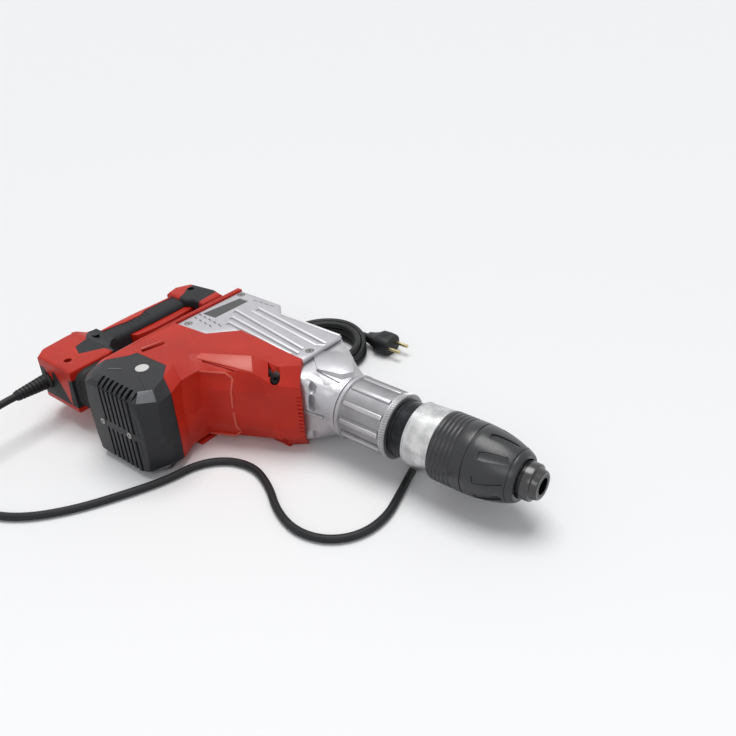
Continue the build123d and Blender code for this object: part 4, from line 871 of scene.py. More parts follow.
# The covers' lower edge slants back and then steps down towards the rear.
cover_edge = [(-303, -20.2), (-397.6, -13), (-427.6, -43), (-479.6, -47)]
cover_room = [(-477.6, 70), (-280, 70), (-280, -20.5), *cover_edge]
cap_outline = [(-500, -174), (-486.5, -171), (-478, -150), (-463, -128), (-460.8, -119), (-410.6, -117.5),
               (-397.5, -131), (-392, -136), (-374, -142.6), (-360, -145), (-360, -200), (-500, -200)]
# Cutting blocks end above the form.
above = 60
print("cap outline:", len(cap_outline), "points")

# %% Red shells
pocket = [(-315.5, -50), (-283.5, -60.5), (-306, -66)]
screw_spot = (-303.6, -54)
# Bosses for the housing's three screws: (x, y), height of the boss, height of the screw's shank.
bosses = [(screw_spot, 37, 36), ((-346, -66), 30, 28), ((-479.6, -73), 48, 36)]
# Thin lines cut into the flat side: start, end, width and depth.
side_lines = [((-484.2, -118, 54.4), (-481.8, 58, 54.4), 0.9, 1.8),
              ((-480.6, -110, 54.4), (-479.0, 58, 54.4), 0.8, 1.4)]
# Small vents stand one above another in the front edge.
vent_count, vent_pitch = 5, 5.2


def red_shell(name):
    """The right half of the motor housing: hollow, with bosses, pockets and vents."""
    shell = carve(copied(half_form, name), [copied(half_hollow, "hollow")])
    shell = carve(shell, [bar("boss", (*spot, 0), (*spot, top), 7.5) for spot, top, _ in bosses], "UNION")
    # Room for the covers, the cap and the nose, then the front screw's pocket and its deep hole.
    tools = [prism("cover_room", cover_room, -1, above),
             prism("cap_room", grown(cap_outline, 0.3), -1, above),
             bar("nose_room", (-300, 0, 0), (-262, 0, 0), 43.5, 39.5, 64),
             stack("pocket", [[(*p, 41.5) for p in pocket], [(*p, 62) for p in grown(pocket, 3)]]),
             bar("screw_hole", (*screw_spot, 33.6), (*screw_spot, above), 6.2)]
    # Groove under the raised panel, the slot behind the fin, and two lines along the rear edge.
    tools += [strut("groove", (-401, -86.4, 49.6), (-327, -66.0, 42.8), 1.3, 2.0, (0, -0.5, 1)),
              strut("fin_slot", (-458.5, -113.5, 55), (-451, -86, 55), 4.6, 9, end_width=2.4)]
    tools += [strut("rear_line", start, end, width, depth) for start, end, width, depth in side_lines]
    shell = carve(shell, tools)
    vent = strut("vent", (-277.5, -50.4, 0), (-271, -46.4, 0), 5.0, 2.0)
    return carve(shell, [repeated("vents", vent, vent_count, first=(0, 0, 2.4), shift=(0, 0, vent_pitch))])


def moulded_edges(obj):
    """The small radius that a mould leaves on every crease of the body."""
    return softened(bevelled(obj, 0.7, 2, 14), 15)


install(moulded_edges(red_shell("housing_right")), "root", "red_plastic", red_nylon, "housing_right")

# %% Left shell with its rest pads
left_shell = moulded_edges(mirrored(red_shell("housing_left")))
pad_rooms = [((-465.6, -106), (-387.6, -66)), ((-344.6, -48), (-299.6, -26))]
pads = [bevelled(prism("pad", [(x0, y0), (x1, y0), (x1, y1), (x0, y1)], pad_z, pad_z + 5), 1.2)
        for (x0, y0), (x1, y1) in pad_rooms]
left_shell = softened(gathered("housing_left", [left_shell, *pads]))
install(left_shell, "root", "red_plastic", red_nylon, "housing_left")

# %% [markdown]
# ## Raised panel, belt and fin
# The flat side carries a raised panel, a thin belt round the wall and a fin: a mould maker cuts
# them deeper into the steel and polishes them. Their lighter colour is a painted sheen. They could
# be pushed out of the shell's own faces, but as thin plates set on those faces they keep crisp
# edges and a finish of their own.

# %% Raised panel, belt and fin
def lifted(points, amount):
    """Points moved along the normal of the face that they make, to its upper side."""
    a, b, c = (Vector(p) for p in points[:3])
    normal = (b - a).cross(c - a).normalized()
    if normal.z < 0:
        normal = -normal
    return [tuple(Vector(p) + normal * amount) for p in points]


def panel(name, corners, low, high, shrink):
    """A thin plate that stands on the face between its corners, smaller at its top."""
    middle = sum((Vector(c) for c in corners), Vector()) / len(corners)
    top = [tuple(Vector(c) + (middle - Vector(c)).normalized() * shrink) for c in corners]
    return stack(name, [lifted(corners, low), lifted(top, high)])


panel_corners = [(-400, -86.4, 51.4), (-397.5, -77.6, 54), (-343.4, -47.6, 54), (-328.6, -62.4, 44.4)]
# The belt runs under the panel and round the wall, down to the parting plane.
belt_line = [(-384, -93.5, 43.2), (-356, -79.6, 43.4), (-349.2, -76, 36.6), (-346.2, -83.4, 24),
             (-345.2, -85.9, 3)]
# The raised pieces take the lighter red, a painted sheen.
for tag in ("right", "left"):
    parts = [bevelled(panel("panel", panel_corners, -1.6, 0.9, 1.2), 0.5)]
    parts += [bevelled(strut("belt", start, end, 2.2, 2.6, (0.3, -1, 0.6)), 0.5)
              for start, end in zip(belt_line, belt_line[1:])]
    fin = strut("fin", (-462, -112, 53.6), (-455.5, -84, 53.6), 3.0, 4.4, end_width=1.6)
    parts.append(bevelled(fin, 0.8))
    if tag == "left":
        parts = [mirrored(part) for part in parts]
    install(softened(gathered("raised_panel_" + tag, parts)), "root", "red_plastic", red_nylon_polished)

# %% [markdown]
# ## Vent cap
# The motor's fan draws air through slots in the black cap. The slots cross the cap's sloped strip
# and run down its end face, as in a mould with straight cores. Modelling each opening would take
# hundreds of points, so the tree lays out two rows of plain blocks and one boolean cuts them all.

# %% Vent cap
slot_count = 8
slot_step = (8.15, 0, 0)


def cap_half():
    """The cap's right half, with slots across the sloped strip and down the end face."""
    half = carve(copied(half_form, "cap_half"), [prism("cap_area", cap_outline, -1, above)], "INTERSECT")
    across = strut("across", (-449.5, -171, 55), (-445.5, -188, 50.4), 3.6, 10)
    down = strut("down", (-444.6, -189, 52), (-444.6, -189, 4.5), 12, 3.6, (1, 0, 0))
    # Two fold lines meet in the flat side.
    return carve(half, [copied(half_hollow, "hollow"),
                        repeated("across_slots", across, slot_count, shift=slot_step),
                        repeated("down_slots", down, slot_count, shift=slot_step),
                        strut("fold", (-418, -150, 54.4), (-389, -163, 54.0), 0.7, 1.6),
                        strut("fold", (-418, -150, 54.4), (-432, -119, 54.4), 0.6, 1.0)])


cap = carve(cap_half(), [mirrored(cap_half())], "UNION")
install(softened(bevelled(cap, 0.6, 2, 14), 15), "root", "black_plastic", black_nylon, "vent_cap")
bpy.data.objects.remove(half_form)
bpy.data.objects.remove(half_hollow)

# %% The cap's grey trims, painted highlight and bare discs
# The grey plate on the cap's front corner is a painted highlight, a pale facet where light falls.
highlight_patch_corners = [(-393.5, -170.2, 54), (-382.8, -158, 54), (-374.6, -161.4, 42.6), (-386, -180.4, 46)]
trims_and_highlight, discs = [], []
for side in ("right", "left"):
    patch = bevelled(panel("patch", highlight_patch_corners, -0.8, 0.7, 0.8), 0.4)
    line = bevelled(strut("line", (-459, -160, 54.0), (-446.5, -151.6, 54.0), 1.3, 1.0), 0.3)
    disc = bevelled(bar("disc", (-428, -137, 53.2), (-428, -137, 54.6), 8.0, 7.6, 48), 0.3)
    if side == "left":
        patch, line, disc = mirrored(patch), mirrored(line), mirrored(disc)
    trims_and_highlight += [patch, line]
    discs.append(disc)
install(softened(gathered("cap_trim", trims_and_highlight)), "root", "black_plastic", grey_nylon)
install(softened(gathered("cap_discs", discs)), "root", "black_plastic", pale_nylon)

# %% [markdown]
# ## Silver side covers and nose casting
# A lacquered cover with slanted cooling ribs lies on each side of the crank case, and the casting
# runs on into a nose that turns from a rectangle to the round neck. The covers carry a bare label
# area, short slots and a bright bevelled edge. Ribs could be part of the cover's mesh, but they
# carry a painted highlight, a paler lacquer, so they are a piece of their own with their own finish.

# %% Side covers
cover_face = 52.0
cover_slab = [(-477.6, 64), (-407.6, 64), (-391.6, 48), (-291.6, 48), (-291.6, -21), (-306, -20.2),
              *cover_edge[1:]]
ribs = [((-424, 41.6), (-295.6, 23.5)), ((-444.3, 21.7), (-308.5, -0.8)), ((-435.8, 6.9), (-306.4, -10.6)),
        ((-428.4, -5), (-312, -17.6))]
label_corners = [(-472.7, -9), (-450.9, -7.6), (-448.6, 48.2), (-463.7, 47.6)]
# Rows of short slots: start, end, width, depth, count and step to the next.
slot_rows = [((-476, -11), (-468.5, -14.4), 2.2, 3.0, 5, (10.2, -1.2, 0)),
             ((-474, -20), (-467, -23.2), 2.0, 3.0, 4, (10.2, -1.2, 0)),
             ((-446, 53.5), (-438.5, 54), 1.2, 2.0, 4, (9.6, 0.5, 0))]
cover_screw_spots = [(-469.6, 55), (-467.6, -36), (-299.6, 0)]
# A shallow valley beside each rib catches the shade.
valley_shift = (1, -4.4)


def side_cover(name):
    """The right cover: a bevelled slab with its label recess, slots, screw holes and valleys."""
    cover = bevelled(prism(name, cover_slab, 46, cover_face), 1.6, 1, 50)
    tools = [prism("label_recess", label_corners, cover_face - 0.5, 55)]
    for start, end, width, depth, count, step in slot_rows:
        slot = strut("short", (*start, cover_face), (*end, cover_face), width, depth)
        tools.append(repeated("short_slots", slot, count, shift=step))
    tools += [bar("screw_room", (*spot, 50.4), (*spot, 56), 5.2) for spot in cover_screw_spots]
    for rib in ribs:
        start, end = ((x + valley_shift[0], y + valley_shift[1], cover_face + 0.3) for x, y in rib)
        tools.append(strut("valley", start, end, 4.0, 2.6))
    return bevelled(carve(cover, tools), 0.35, 1, 35)


cover = side_cover("silver_cover_right")
install(softened(cover, 28), "root", "painted_silver", silver_lacquer, "side_cover_right")
# The left cover carries one of the three pads that the tool rests on.
pad_corners = [(-327.6, 8), (-306.6, 8), (-306.6, 38), (-327.6, 38)]
cover = side_cover("silver_cover_left")
rest_pad = bevelled(prism("rest_pad", pad_corners, 51, -pad_z), 1.2)
cover = mirrored(gathered("silver_cover_left", [cover, rest_pad]))
install(softened(cover, 28), "root", "painted_silver", silver_lacquer, "side_cover_left")

# %% Ribs and labels of the covers
# Whatever stands up takes the paler lacquer, a painted highlight: the ribs, a hooked line, the upper bead.
raised_lines = [*ribs, ((-425, 30.6), (-302, 13.6)), ((-302, 13.6), (-292.6, 19.4)),
                ((-389.5, 45.8), (-293.5, 45.8))]
rib_bars = [bevelled(strut("rib", (*start, cover_face * sign), (*end, cover_face * sign), 3.4, 2.2), 0.8)
            for start, end in raised_lines for sign in (1, -1)]
install(softened(gathered("cover_ribs", rib_bars), 28), "root", "painted_silver", rubbed_silver)
# The label film is a little smaller than its recess.
label_middle = Vector((-459, 20))
label_outline = [tuple(label_middle + (Vector(c) - label_middle) * 0.955) for c in label_corners]
labels = [prism("label", label_outline, *heights) for heights in ((51.3, 51.8), (-51.8, -51.3))]
install(softened(gathered("bare_labels", labels)), "root", "painted_silver", label_film)

# %% [markdown]
# ## Nose casting
# The casting turns from a rectangle at the crank case to a circle at the neck. Blending two meshes
# by hand would leave dents, so each ring is worked out by a formula: a rounded rectangle, and a
# share of the way from it to the circle. Facets and recesses are then joined and cut.

# %% Nose casting
nose_rear = -291.6
neck_radius = 36.8
bore_radius = 30.1
# Rings of the nose: x, low y, high y, half width, corner, radius, and its share of a circle.
nose_rows = [(nose_rear, -42, 48, 46, 14, neck_radius, 0.0), (-286, -42, 48, 46, 14, neck_radius, 0.02),
             (-276, -42, 46, 45.6, 12, neck_radius, 0.16), (-262, -40, 42, 44.6, 9, neck_radius, 0.46),
             (-250, -39, 40, 42, 6, neck_radius, 0.80), (-244.6, -37, 37, 37, 5, neck_radius, 1.0),
             (-238.0, -37, 37, 37, 5, neck_radius, 1.0), (-237.6, -37, 37, 37, 5, 36.2, 1.0)]
nose_points = 96


def nose_ring(x, low, high, half_wide, corner, round_radius, share):
    """One ring of the nose: a rounded rectangle that turns into a circle as share goes to 1."""
    ring = []
    middle_y = (low + high) / 2
    half_y = (high - low) / 2
    for k in range(nose_points):
        angle = 2 * pi * (k + 0.5) / nose_points
        c, s = cos(angle), sin(angle)
        # The rounded rectangle, by its distance along the ray.
        flat = min(half_y / max(abs(c), 1e-6), half_wide / max(abs(s), 1e-6))
        curved = (abs(c / half_y) ** corner + abs(s / half_wide) ** corner) ** (-1 / corner)
        distance = min(flat, curved)
        y, z = middle_y + distance * c, distance * s
        ring.append((x, y + (round_radius * c - y) * share, z + (round_radius * s - z) * share))
    return ring


def bore(rear):
    """The hole for the barrel, from its rear end to in front of the nose."""
    return bar("bore", (rear, 0, 0), (-230, 0, 0), bore_radius, sides=64)


nose = carve(stack("nose", [nose_ring(*row) for row in nose_rows]), [bore(-300)])
print("nose:", len(nose.data.polygons), "faces")

# %% Facets and recesses of the nose
# A raised flat facet on each side leans towards the neck: its height is that at facet_x and falls
# by a slope for each millimetre in front of it.
facet = [(-302, 6.3), (-276.2, 25.5), (-259, 27.5), (-240, 5), (-247, -6.8), (-274, -17)]
facet_x = facet[0][0]
facets = []
for side in ("right", "left"):
    plate = stack("facet", [[(x, y, 40.0 - 0.14 * (x - facet_x)) for x, y in grown(facet, 1.5)],
                            [(x, y, 48.6 - 0.10 * (x - facet_x)) for x, y in facet]])
    if side == "left":
        plate = mirrored(plate)
    facets.append(carve(plate, [bore(-310)]))
nose = carve(nose, facets, "UNION")
# Long recesses in the lower wall, rounded at both ends: from z, to z, and the floor's y.
oval_x = -266
oval_radius = 4.0
oval_depth = 11.5
tools = []
for low, high, floor_y in ((30, 41.5, -31.5), (8, 21, -33.5), (-41, -28, -33.5)):
    middle_y = floor_y - oval_depth
    tools.append(strut("oval", (oval_x, middle_y, low), (oval_x, middle_y, high), 2 * oval_radius,
                       2 * oval_depth, (0, 1, 0)))
    tools += [bar("oval_end", (oval_x, -57, z), (oval_x, floor_y, z), oval_radius) for z in (low, high)]
# The recess in front of the housing, on each side.
for sign in (1, -1):
    tools.append(stack("corner", [
        [(-276, -17, 42 * sign), (-245, -11.5, 33 * sign), (-256, -25, 34 * sign)],
        [(-280, -15, above * sign), (-243, -9, above * sign), (-257, -32, above * sign)]]))
nose = softened(bevelled(carve(nose, tools), 0.7, 2, 30), 26)
# Parting line of the casting along the bottom, and a rounded rib at the top.
seam = bevelled(strut("seam", (-290.6, -42.4, 1), (-250, -39.2, 1), 1.6, 3.0, (0, 1, 0)), 0.3)
crown = bevelled(strut("crown", (-291.4, 47.6, 0), (-262, 41.6, 0), 12, 3.2, (0, 1, 0), 7), 1.0)
# The CAD's own casting is kept behind the nose.
front_room = bar("front_room", (nose_rear, 0, 0), (-200, 0, 0), 130)
case_body = carve(from_node("crank_case", "case_body"), [front_room])
casting = gathered("crank_case_casting", [softened(case_body, 30), nose, seam, crown])
install(casting, "root", "cast_aluminium", blasted_aluminium, "crank_case")

# %% [markdown]
# ## Neck, collar and chuck
# The barrel's neck is ribbed between two rims. A black collar band follows, then a brushed ring and
# the black sleeve with its grip recesses, and a rubber lip round the dark mouth of the tool holder.
# All of them were turned on a lathe or moulded round, so each is a profile turned round the axis,
# and the tree puts the ribs and recesses round it.

# %% Neck and band
neck_rib_count = 11
knurl_count = 80
# The tube is the CAD's own, so that its bore keeps its fit.
neck = from_node("barrel_neck", "neck_body")
rib_pattern = bevelled(strut("neck_rib", (-229.6, 35.5, 0), (-176.6, 35.5, 0), 6.0, 4.0, (0, 1, 0)), 1.6, 3)
neck_ribs = repeated("neck_ribs", rib_pattern, neck_rib_count, start=8, turn=360 / neck_rib_count,
                     material=blasted_aluminium)
knurl = bevelled(strut("knurl", (-173.8, 37.0, 0.5), (-168.2, 37.0, -0.5), 1.5, 1.3, (0, 1, 0)), 0.3, 1)
knurls = repeated("neck_knurls", knurl, knurl_count, turn=360 / knurl_count, material=blasted_aluminium)
rim = turned("rim", [(-237.0, 35.0), (-236.4, 37.0), (-235.2, 37.8), (-231.6, 37.8), (-230.8, 36.2),
                     (-230.4, 35.0)])
lip = turned("lip", [(-176.2, 35.0), (-175.4, 36.8), (-174.6, 37.5), (-173.4, 37.5), (-172.8, 36.8),
                     (-172.6, 35.0)])
# The tube takes the darker casting: painted shade between the ribs.
install(softened(neck, 32), "root", "cast_aluminium", dull_aluminium, "barrel_neck")
# The ribs and rims keep the casting's lighter tone; their contrast with the darker tube is painted light.
neck_edges = gathered("neck_ribs_and_rims", [neck_ribs, knurls, rim, lip])
install(softened(neck_edges, 32), "root", "cast_aluminium", blasted_aluminium)

band = from_node("collar_band", "band")
band_line = turned("band_line", [(-166.0, 31.6), (-165.4, 32.6), (-162.6, 32.6), (-162.0, 31.6)])
install(softened(gathered("glossy_band", [band, band_line]), 30), "root", "dark_steel", black_oxide,
        "collar_band")

# %% Brushed ring
ring = from_node("sleeve_ring", "ring")
ring_lines = [turned("line", [(x, 35.4), (x + 0.5, 36.5), (x + 1.5, 36.5), (x + 2.0, 35.4)])
              for x in (-146.4, -118.0)]
install(softened(gathered("brushed_sleeve_ring", [ring, *ring_lines]), 30), "sleeve", "brushed_aluminium",
        brushed_ring, "sleeve_ring")

# %% Grip sleeve
# Rounded rings at its rear, a smooth swelling, then a taper with grip recesses.
first_ring, ring_pitch, ring_count = -111.4, 5.1, 5
# One ring: distance along the axis and radius.
ring_profile = [(0, 38.0), (0.9, 38.4), (2.0, 38.5), (3.1, 38.3), (3.9, 37.7), (4.4, 37.3), (4.8, 37.4)]
sleeve_outline = [(-113, 34.3), (-113, 37.6), (-112.4, 38.2)]
for k in range(ring_count):
    sleeve_outline += [(first_ring + ring_pitch * k + x, radius) for x, radius in ring_profile]
sleeve_outline += [(-85.6, 38.1), (-84.2, 38.5), (-75, 38.4), (-66, 37.9), (-58, 37.0), (-50, 35.7),
                   (-42, 33.9), (-35, 31.8), (-28, 29.4), (-24, 27.6), (-21, 25.9), (-20, 24.9),
                   (-20, 21), (-26, 21), (-30, 25), (-44, 29.5), (-58, 34.3)]
sleeve_steps = 128
sleeve = turned("grip_sleeve", sleeve_outline, sleeve_steps)
# One recess: a slanted blade whose underside follows the taper. Its rows run towards the tip.
recess_count = 9
recess_top = 42
recess_rows = [((-60, 35.2, 1.0), (-58, 35.2, 8.4)), ((-54, 34.3, -1.8), (-50, 33.6, 7.2)),
               ((-42, 31.9, -4.6), (-39, 31.0, 4.0)), ((-32, 28.9, -6.2), (-29, 27.9, 1.0))]
recess = stack("recess", [[a, b, (b[0], recess_top, b[2]), (a[0], recess_top, a[2])]
                          for a, b in recess_rows])
ring_cuts = [turned("ring_cut", outline, sleeve_steps) for outline in (
    [(-72.5, 37.3), (-72.5, 40), (-71.3, 40), (-71.3, 37.3)],
    [(-27.2, 28.1), (-27.2, 32), (-26.0, 32), (-26.0, 27.6)])]
recesses = repeated("recesses", recess, recess_count, start=6, turn=360 / recess_count)
sleeve = carve(sleeve, [recesses, *ring_cuts])
sleeve = softened(bevelled(sleeve, 0.4, 2, 40), 30)
install(sleeve, "sleeve", "black_plastic", sleeve_nylon, "locking_sleeve")

# %% Dust lip
# Its skirt reaches back under the sleeve, and the blackened tool holder shows inside it.
lip_outline = [(-17, 12.1), (-17, 18.2), (-23, 18.2), (-23, 19.2), (-22.5, 19.6), (-17.7, 19.6),
               (-17.4, 18.9), (-16.9, 18.9), (-16.6, 19.5), (-15.8, 20), (-8.6, 19.8), (-7.7, 19.4),
               (-7.2, 18.6), (-7.0, 16.9), (-6.4, 16.5), (-1.8, 15.6), (-0.6, 15.0), (0, 14.2), (0, 12.1)]
mouth = turned("mouth_ring", lip_outline)
install(softened(mouth, 30), "root", "black_rubber", lip_rubber, "dust_cap")

# %% [markdown]
# ## Handle
# Two moulded shells carry the grip. Each arm is split into red and black fields as on a two-shot
# moulding: black rubber fills the grip and the middle of the arms, and red tongues wrap round them.
# Painting the fields on one mesh would need an image, so each shell is cut along the fields into a
# red and a black piece that meet without a gap.

# %% Handle fields
handle_rear, handle_front = -640, -500
# Field of the lower arm that is red, seen along the tool: (x, z) points, from the top face down.
red_field = [(-620, 60), (-520, 60), (-520, 17.5), (-534.5, 17.5), (-539.5, -22), (-562.5, 17), (-569, 17),
             (-572.5, 0), (-586, 17), (-620, 17)]
low_field = [(handle_rear, -60), (handle_front, -60), (handle_front, -21.5), (handle_rear, -21.5)]
upper_rear_field = [(handle_rear, 30), (-586.6, 30), (-584.2, 39.5), (-588, 52), (-597, 66), (-600, 100),
                    (handle_rear, 100)]
upper_front_field = [(-549, 30), (-520, 30), (-520, 100), (-556, 100)]
# Black runs from the grip onto the arm's flat side and ends in a tongue.
black_tongue = [(handle_rear, -60), (handle_front, -60), (handle_front, -107), (-541, -112), (-545, -119),
                (-556, -139), (-575, -131), (-580, -112), (-602, -98), (-606, -92), (handle_rear, -92)]


def lower_field(name, outline):
    """A block through the lower arm with an (x, z) outline."""
    return stack(name, [[(x, y, z) for x, z in outline] for y in (-200, -60)])


def red_room(sign):
    """All that is red on one shell: the lower arm less its black tongue, and the upper arm's fields."""
    tongue = prism("tongue", black_tongue, *((-19, above) if sign > 0 else (-above, 19)))
    field = carve(lower_field("red_room", red_field), [lower_field("low_room", low_field)], "UNION")
    field = carve(field, [tongue])
    upper = [prism("upper_room", outline, -40, 40) for outline in (upper_rear_field, upper_front_field)]
    return carve(field, upper, "UNION")


print("red field:", len(red_field), "points, black tongue:", len(black_tongue))

# %% Handle shells
lower_arm = [(-610.6, -78), (-610.6, -122), (-606.6, -159), (-595.6, -172), (-527.6, -172), (-527.6, -108),
             (-544.6, -104), (-565.6, -88), (-570.6, -78)]
# The arm's flat side slopes down to the grip: (y, z) points of the cut, and of the new wall under it.
ramp = [(-50, 19.6), (-82, 19.6), (-92, 20.6), (-106, 28.4), (-112, 34), (-112, 60), (-50, 60)]
ramp_wall = [(-74, 19.6), (-82, 19.6), (-92, 20.6), (-106, 28.4), (-113, 30), (-113, 26), (-106, 25.2),
             (-92, 17.4), (-82, 16.4), (-74, 16.4)]
arm_screw = (-590.6, -92)


def along_tool(name, profile, sign):
    """A block along the whole handle with a (y, z) profile, for the right or the left side."""
    return stack(name, [[(x, y, z * sign) for y, z in profile] for x in (handle_rear, handle_front)])


def rounded(obj):
    """Shades the narrow chamfers as rounded edges, while the wide faces stay flat."""
    softened(obj, 50)
    weigh = obj.modifiers.new("weigh", "WEIGHTED_NORMAL")
    weigh.keep_sharp = True
    weigh.weight = 90
    keep_mesh(obj)
    return obj


for node, sign in (("handle_right", 1), ("handle_left", -1)):
    shell = carve(from_node(node, node), [along_tool("ramp", ramp, sign)])
    new_wall = carve(along_tool("ramp_wall", ramp_wall, sign), [prism("within", lower_arm, -40, 40)],
                     "INTERSECT")
    shell = carve(shell, [new_wall], "UNION")
    shell = carve(shell, [bar("screw_room", (*arm_screw, 10 * sign), (*arm_screw, 40 * sign), 4.6)])
    field = red_room(sign)
    red = carve(copied(shell, "red_" + node), [copied(field, "field")], "INTERSECT")
    black = carve(copied(shell, "black_" + node), [field])
    bpy.data.objects.remove(shell)
    install(rounded(red), "handle", "red_plastic", red_nylon, node)
    install(rounded(black), "handle", "black_rubber", grip_rubber)

# %% [markdown]
# ## Grip, strip and trigger
# Soft rubber is moulded over the grip, a little fuller in the middle of the hand, with fine
# grooves across it. A stack of rings gives that swelling, where a bevelled box would be too
# straight. A red strip of the shell shows beside the trigger, which is the CAD's own bar with
# rounded edges.

# %% Grip rubber
cad_low, cad_high = limits("grip_cover")
grip_middle = round((cad_low[0] + cad_high[0]) / 2, 2)
# Each end comes closer to its arm by a hair, so that no gap shows.
grip_reach = 0.05
grip_low, grip_high = cad_low[1] - grip_reach, cad_high[1] + grip_reach
grip_half_x, grip_half_z = 19.4, 18.6
# Corners of the rubber and of the room inside it: the lower the power, the squarer.
outer_corner = 2 / 3.2
inner_corner = 2 / 4.4
# How far the grip swells at each height: (y, swelling).
swell = [(grip_low, 0.0), (-74, -0.3), (-60, 0.0), (-40, 0.5), (-15, 0.7), (10, 0.4), (30, 0.0), (36, -0.2),
         (grip_high, 0.0)]


def grip_ring(y, half_x, half_z, power):
    """One ring round the grip's middle line."""
    return [(grip_middle + a, y, b) for a, b in soft_corners(half_x, half_z, power, 64)]


grip = stack("grip_rubber_cover", [grip_ring(y, grip_half_x + s, grip_half_z + s, outer_corner)
                                   for y, s in swell])
groove_count, groove_pitch = 9, 6.4
# The rubber is about 2.5 mm thick over the shells, and open at the front for the trigger.
tools = [stack("core", [grip_ring(y, 17.05, 16.05, inner_corner) for y in (-90, 50)]),
         strut("mouth", (-573, -54.6, 0), (-573, 44, 0), 24, 23.4)]
for groove_z in (19.4, -19.4):
    groove = strut("grip_line", (-606, 0, groove_z), (-575, 0, groove_z), 1.4, 1.6)
    tools.append(repeated("grip_lines", groove, groove_count, first=(0, -64, 0), shift=(0, groove_pitch, 0)))
grip = carve(grip, tools)
install(softened(bevelled(grip, 0.4, 2, 45), 32), "handle", "black_rubber", grip_rubber, "grip_cover")

# %% Red strip along the grip, and the trigger
# Rows across the strip: y, rear x, front x, front height, outer x, outer height.
strip_rows = [(-77, -603.4, -599.2, 19.0, -604.6, 17.6), (-62, -603.0, -597.0, 19.3, -604.4, 18.2),
              (-44, -603.0, -592.0, 19.9, -604.4, 18.6), (-20, -603.0, -592.0, 20.0, -604.4, 18.8),
              (-8, -603.0, -598.0, 19.8, -604.4, 18.6), (38, -603.4, -599.8, 19.0, -604.6, 17.6)]
strip_levels = [[(rear, y, 15.6), (front, y, 17.2), (front, y, front_z), (outer, y, outer_z)]
                for y, rear, front, front_z, outer, outer_z in strip_rows]
right_strip = bevelled(stack("strip", strip_levels), 0.4)
left_strip = bevelled(mirrored(stack("strip", strip_levels)), 0.4)
install(softened(gathered("grip_strip", [right_strip, left_strip])), "handle", "red_plastic", red_nylon)

trigger = from_node("trigger", "trigger_bar")
install(softened(bevelled(trigger, 1.4, 3, 40), 34), "trigger", "trigger_red", red_nylon, "trigger")

# %% [markdown]
# ## Boots and springs
# The handle slides on pins against springs, and folded rubber boots keep dust out of the gap. A
# boot could be turned round an axis, but these are rectangular and narrow towards the housing, so
# each is a stack of rounded rings whose size steps in and out. Springs and boots stay joined at
# both ends as the handle moves.

# %% Folded boots
wall_x = limits("lower_boot")[1][0]
boot_wall = 1.8
fold_depth = 3.2
# One fold takes four steps, with these shares of its depth.
fold_shape = (0.0, 0.6, 1.0, 0.6)


def boot(name, node, folds, wall_span):
    """A bellows with folds, from the arm's face to a span of the housing's wall."""
    (arm_x, arm_low, _), (_, arm_high, half_z) = limits(node)
    steps = folds * len(fold_shape)
    outer, inner = [], []
    for k in range(steps + 1):
        share = k / steps
        x = arm_x + (wall_x - arm_x) * share
        fold = fold_shape[k % len(fold_shape)] * fold_depth if 0 < k < steps else 0.0
        low = arm_low + (wall_span[0] - arm_low) * share + fold
        high = arm_high + (wall_span[1] - arm_high) * share - fold
        for rings, thick in ((outer, 0.0), (inner, boot_wall)):
            corners = soft_corners((high - low) / 2 - thick, half_z - fold - thick, 0.5, 48)
            rings.append([(x, (low + high) / 2 + a, b) for a, b in corners])
    # Out along the outside, back along the inside, and closed at both lips.
    return stack(name, outer + inner[::-1] + outer[:1], closed=False)


lower_boot = boot("lower_bellows", "lower_boot", 4, (-166, -114))
upper_boot = boot("upper_bellows", "upper_boot", 5, (46, 64))
for piece, node, keep in ((lower_boot, "lower_boot", 0.868), (upper_boot, "upper_boot", 0.903)):
    install(softened(piece, 60), "root", "black_rubber", jacket_rubber, node)
    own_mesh(piece)

# %% Springs
for node, joint, anchor, keep in (("damper_springs", "handle_slide", (-0.4896, 0, 0), 0.87),
                                  ("sleeve_spring", "sleeve_slide", (-0.112, 0, 0), 0.42)):
    wire = softened(from_node(node, node + "_wire"), 50)
    install(wire, "root", "spring_steel", spring_wire, node)
    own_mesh(wire)

# %% [markdown]
# ## Screws
# Socket screws sit in deep holes in the shells, the covers and the cap. They don't stand at even
# steps, so a second tree puts one head on each of a list of points. The shanks below them are
# plain bars that reach into the bosses.

# %% The screw tree
def screw_tree():
    """One copy of the pattern on each point of the mesh."""
    tree, given = new_tree("screws_on_points", (("Geometry", "Geometry"), ("Pattern", "Object"),
                                                ("Material", "Material")))
    spots = add(tree, "GeometryNodeMeshToPoints", {"Mesh": given["Geometry"]})
    plain_copies(tree, given, spots.outputs[0])
    return tree


screws_on_points = screw_tree()


def socket_screw(radius, height):
    """A screw's head seen from +z, top at z 0, with a six-lobed socket."""
    head = stack("screw", [[(a, b, z) for a, b in circle(r, 40)]
                           for r, z in ((radius, -height), (radius, -0.5), (radius - 0.5, 0))])
    lobes = [bar("lobe", (a, b, -1.6), (a, b, 1), radius * 0.2, sides=12)
             for a, b in circle(radius * 0.26, 6)]
    lobes.append(bar("middle", (0, 0, -1.6), (0, 0, 1), radius * 0.3, sides=16))
    return carve(head, lobes)


def screws(name, spots, material, radius, height, turn=0):
    """Screw heads at spots in millimetres, turned round X by an angle in degrees."""
    pattern = socket_screw(radius, height)
    if turn:
        pattern.data.transform(Matrix.Rotation(radians(turn), 4, "X"))
    points = bpy.data.meshes.new(name)
    points.from_pydata([place(*p) for p in spots], [], [])
    heads = run_tree(name, points, screws_on_points, pattern, Material=material)
    install(softened(heads, 40), "root", "dark_steel", material)


print("screw tree:", len(screws_on_points.nodes), "nodes")

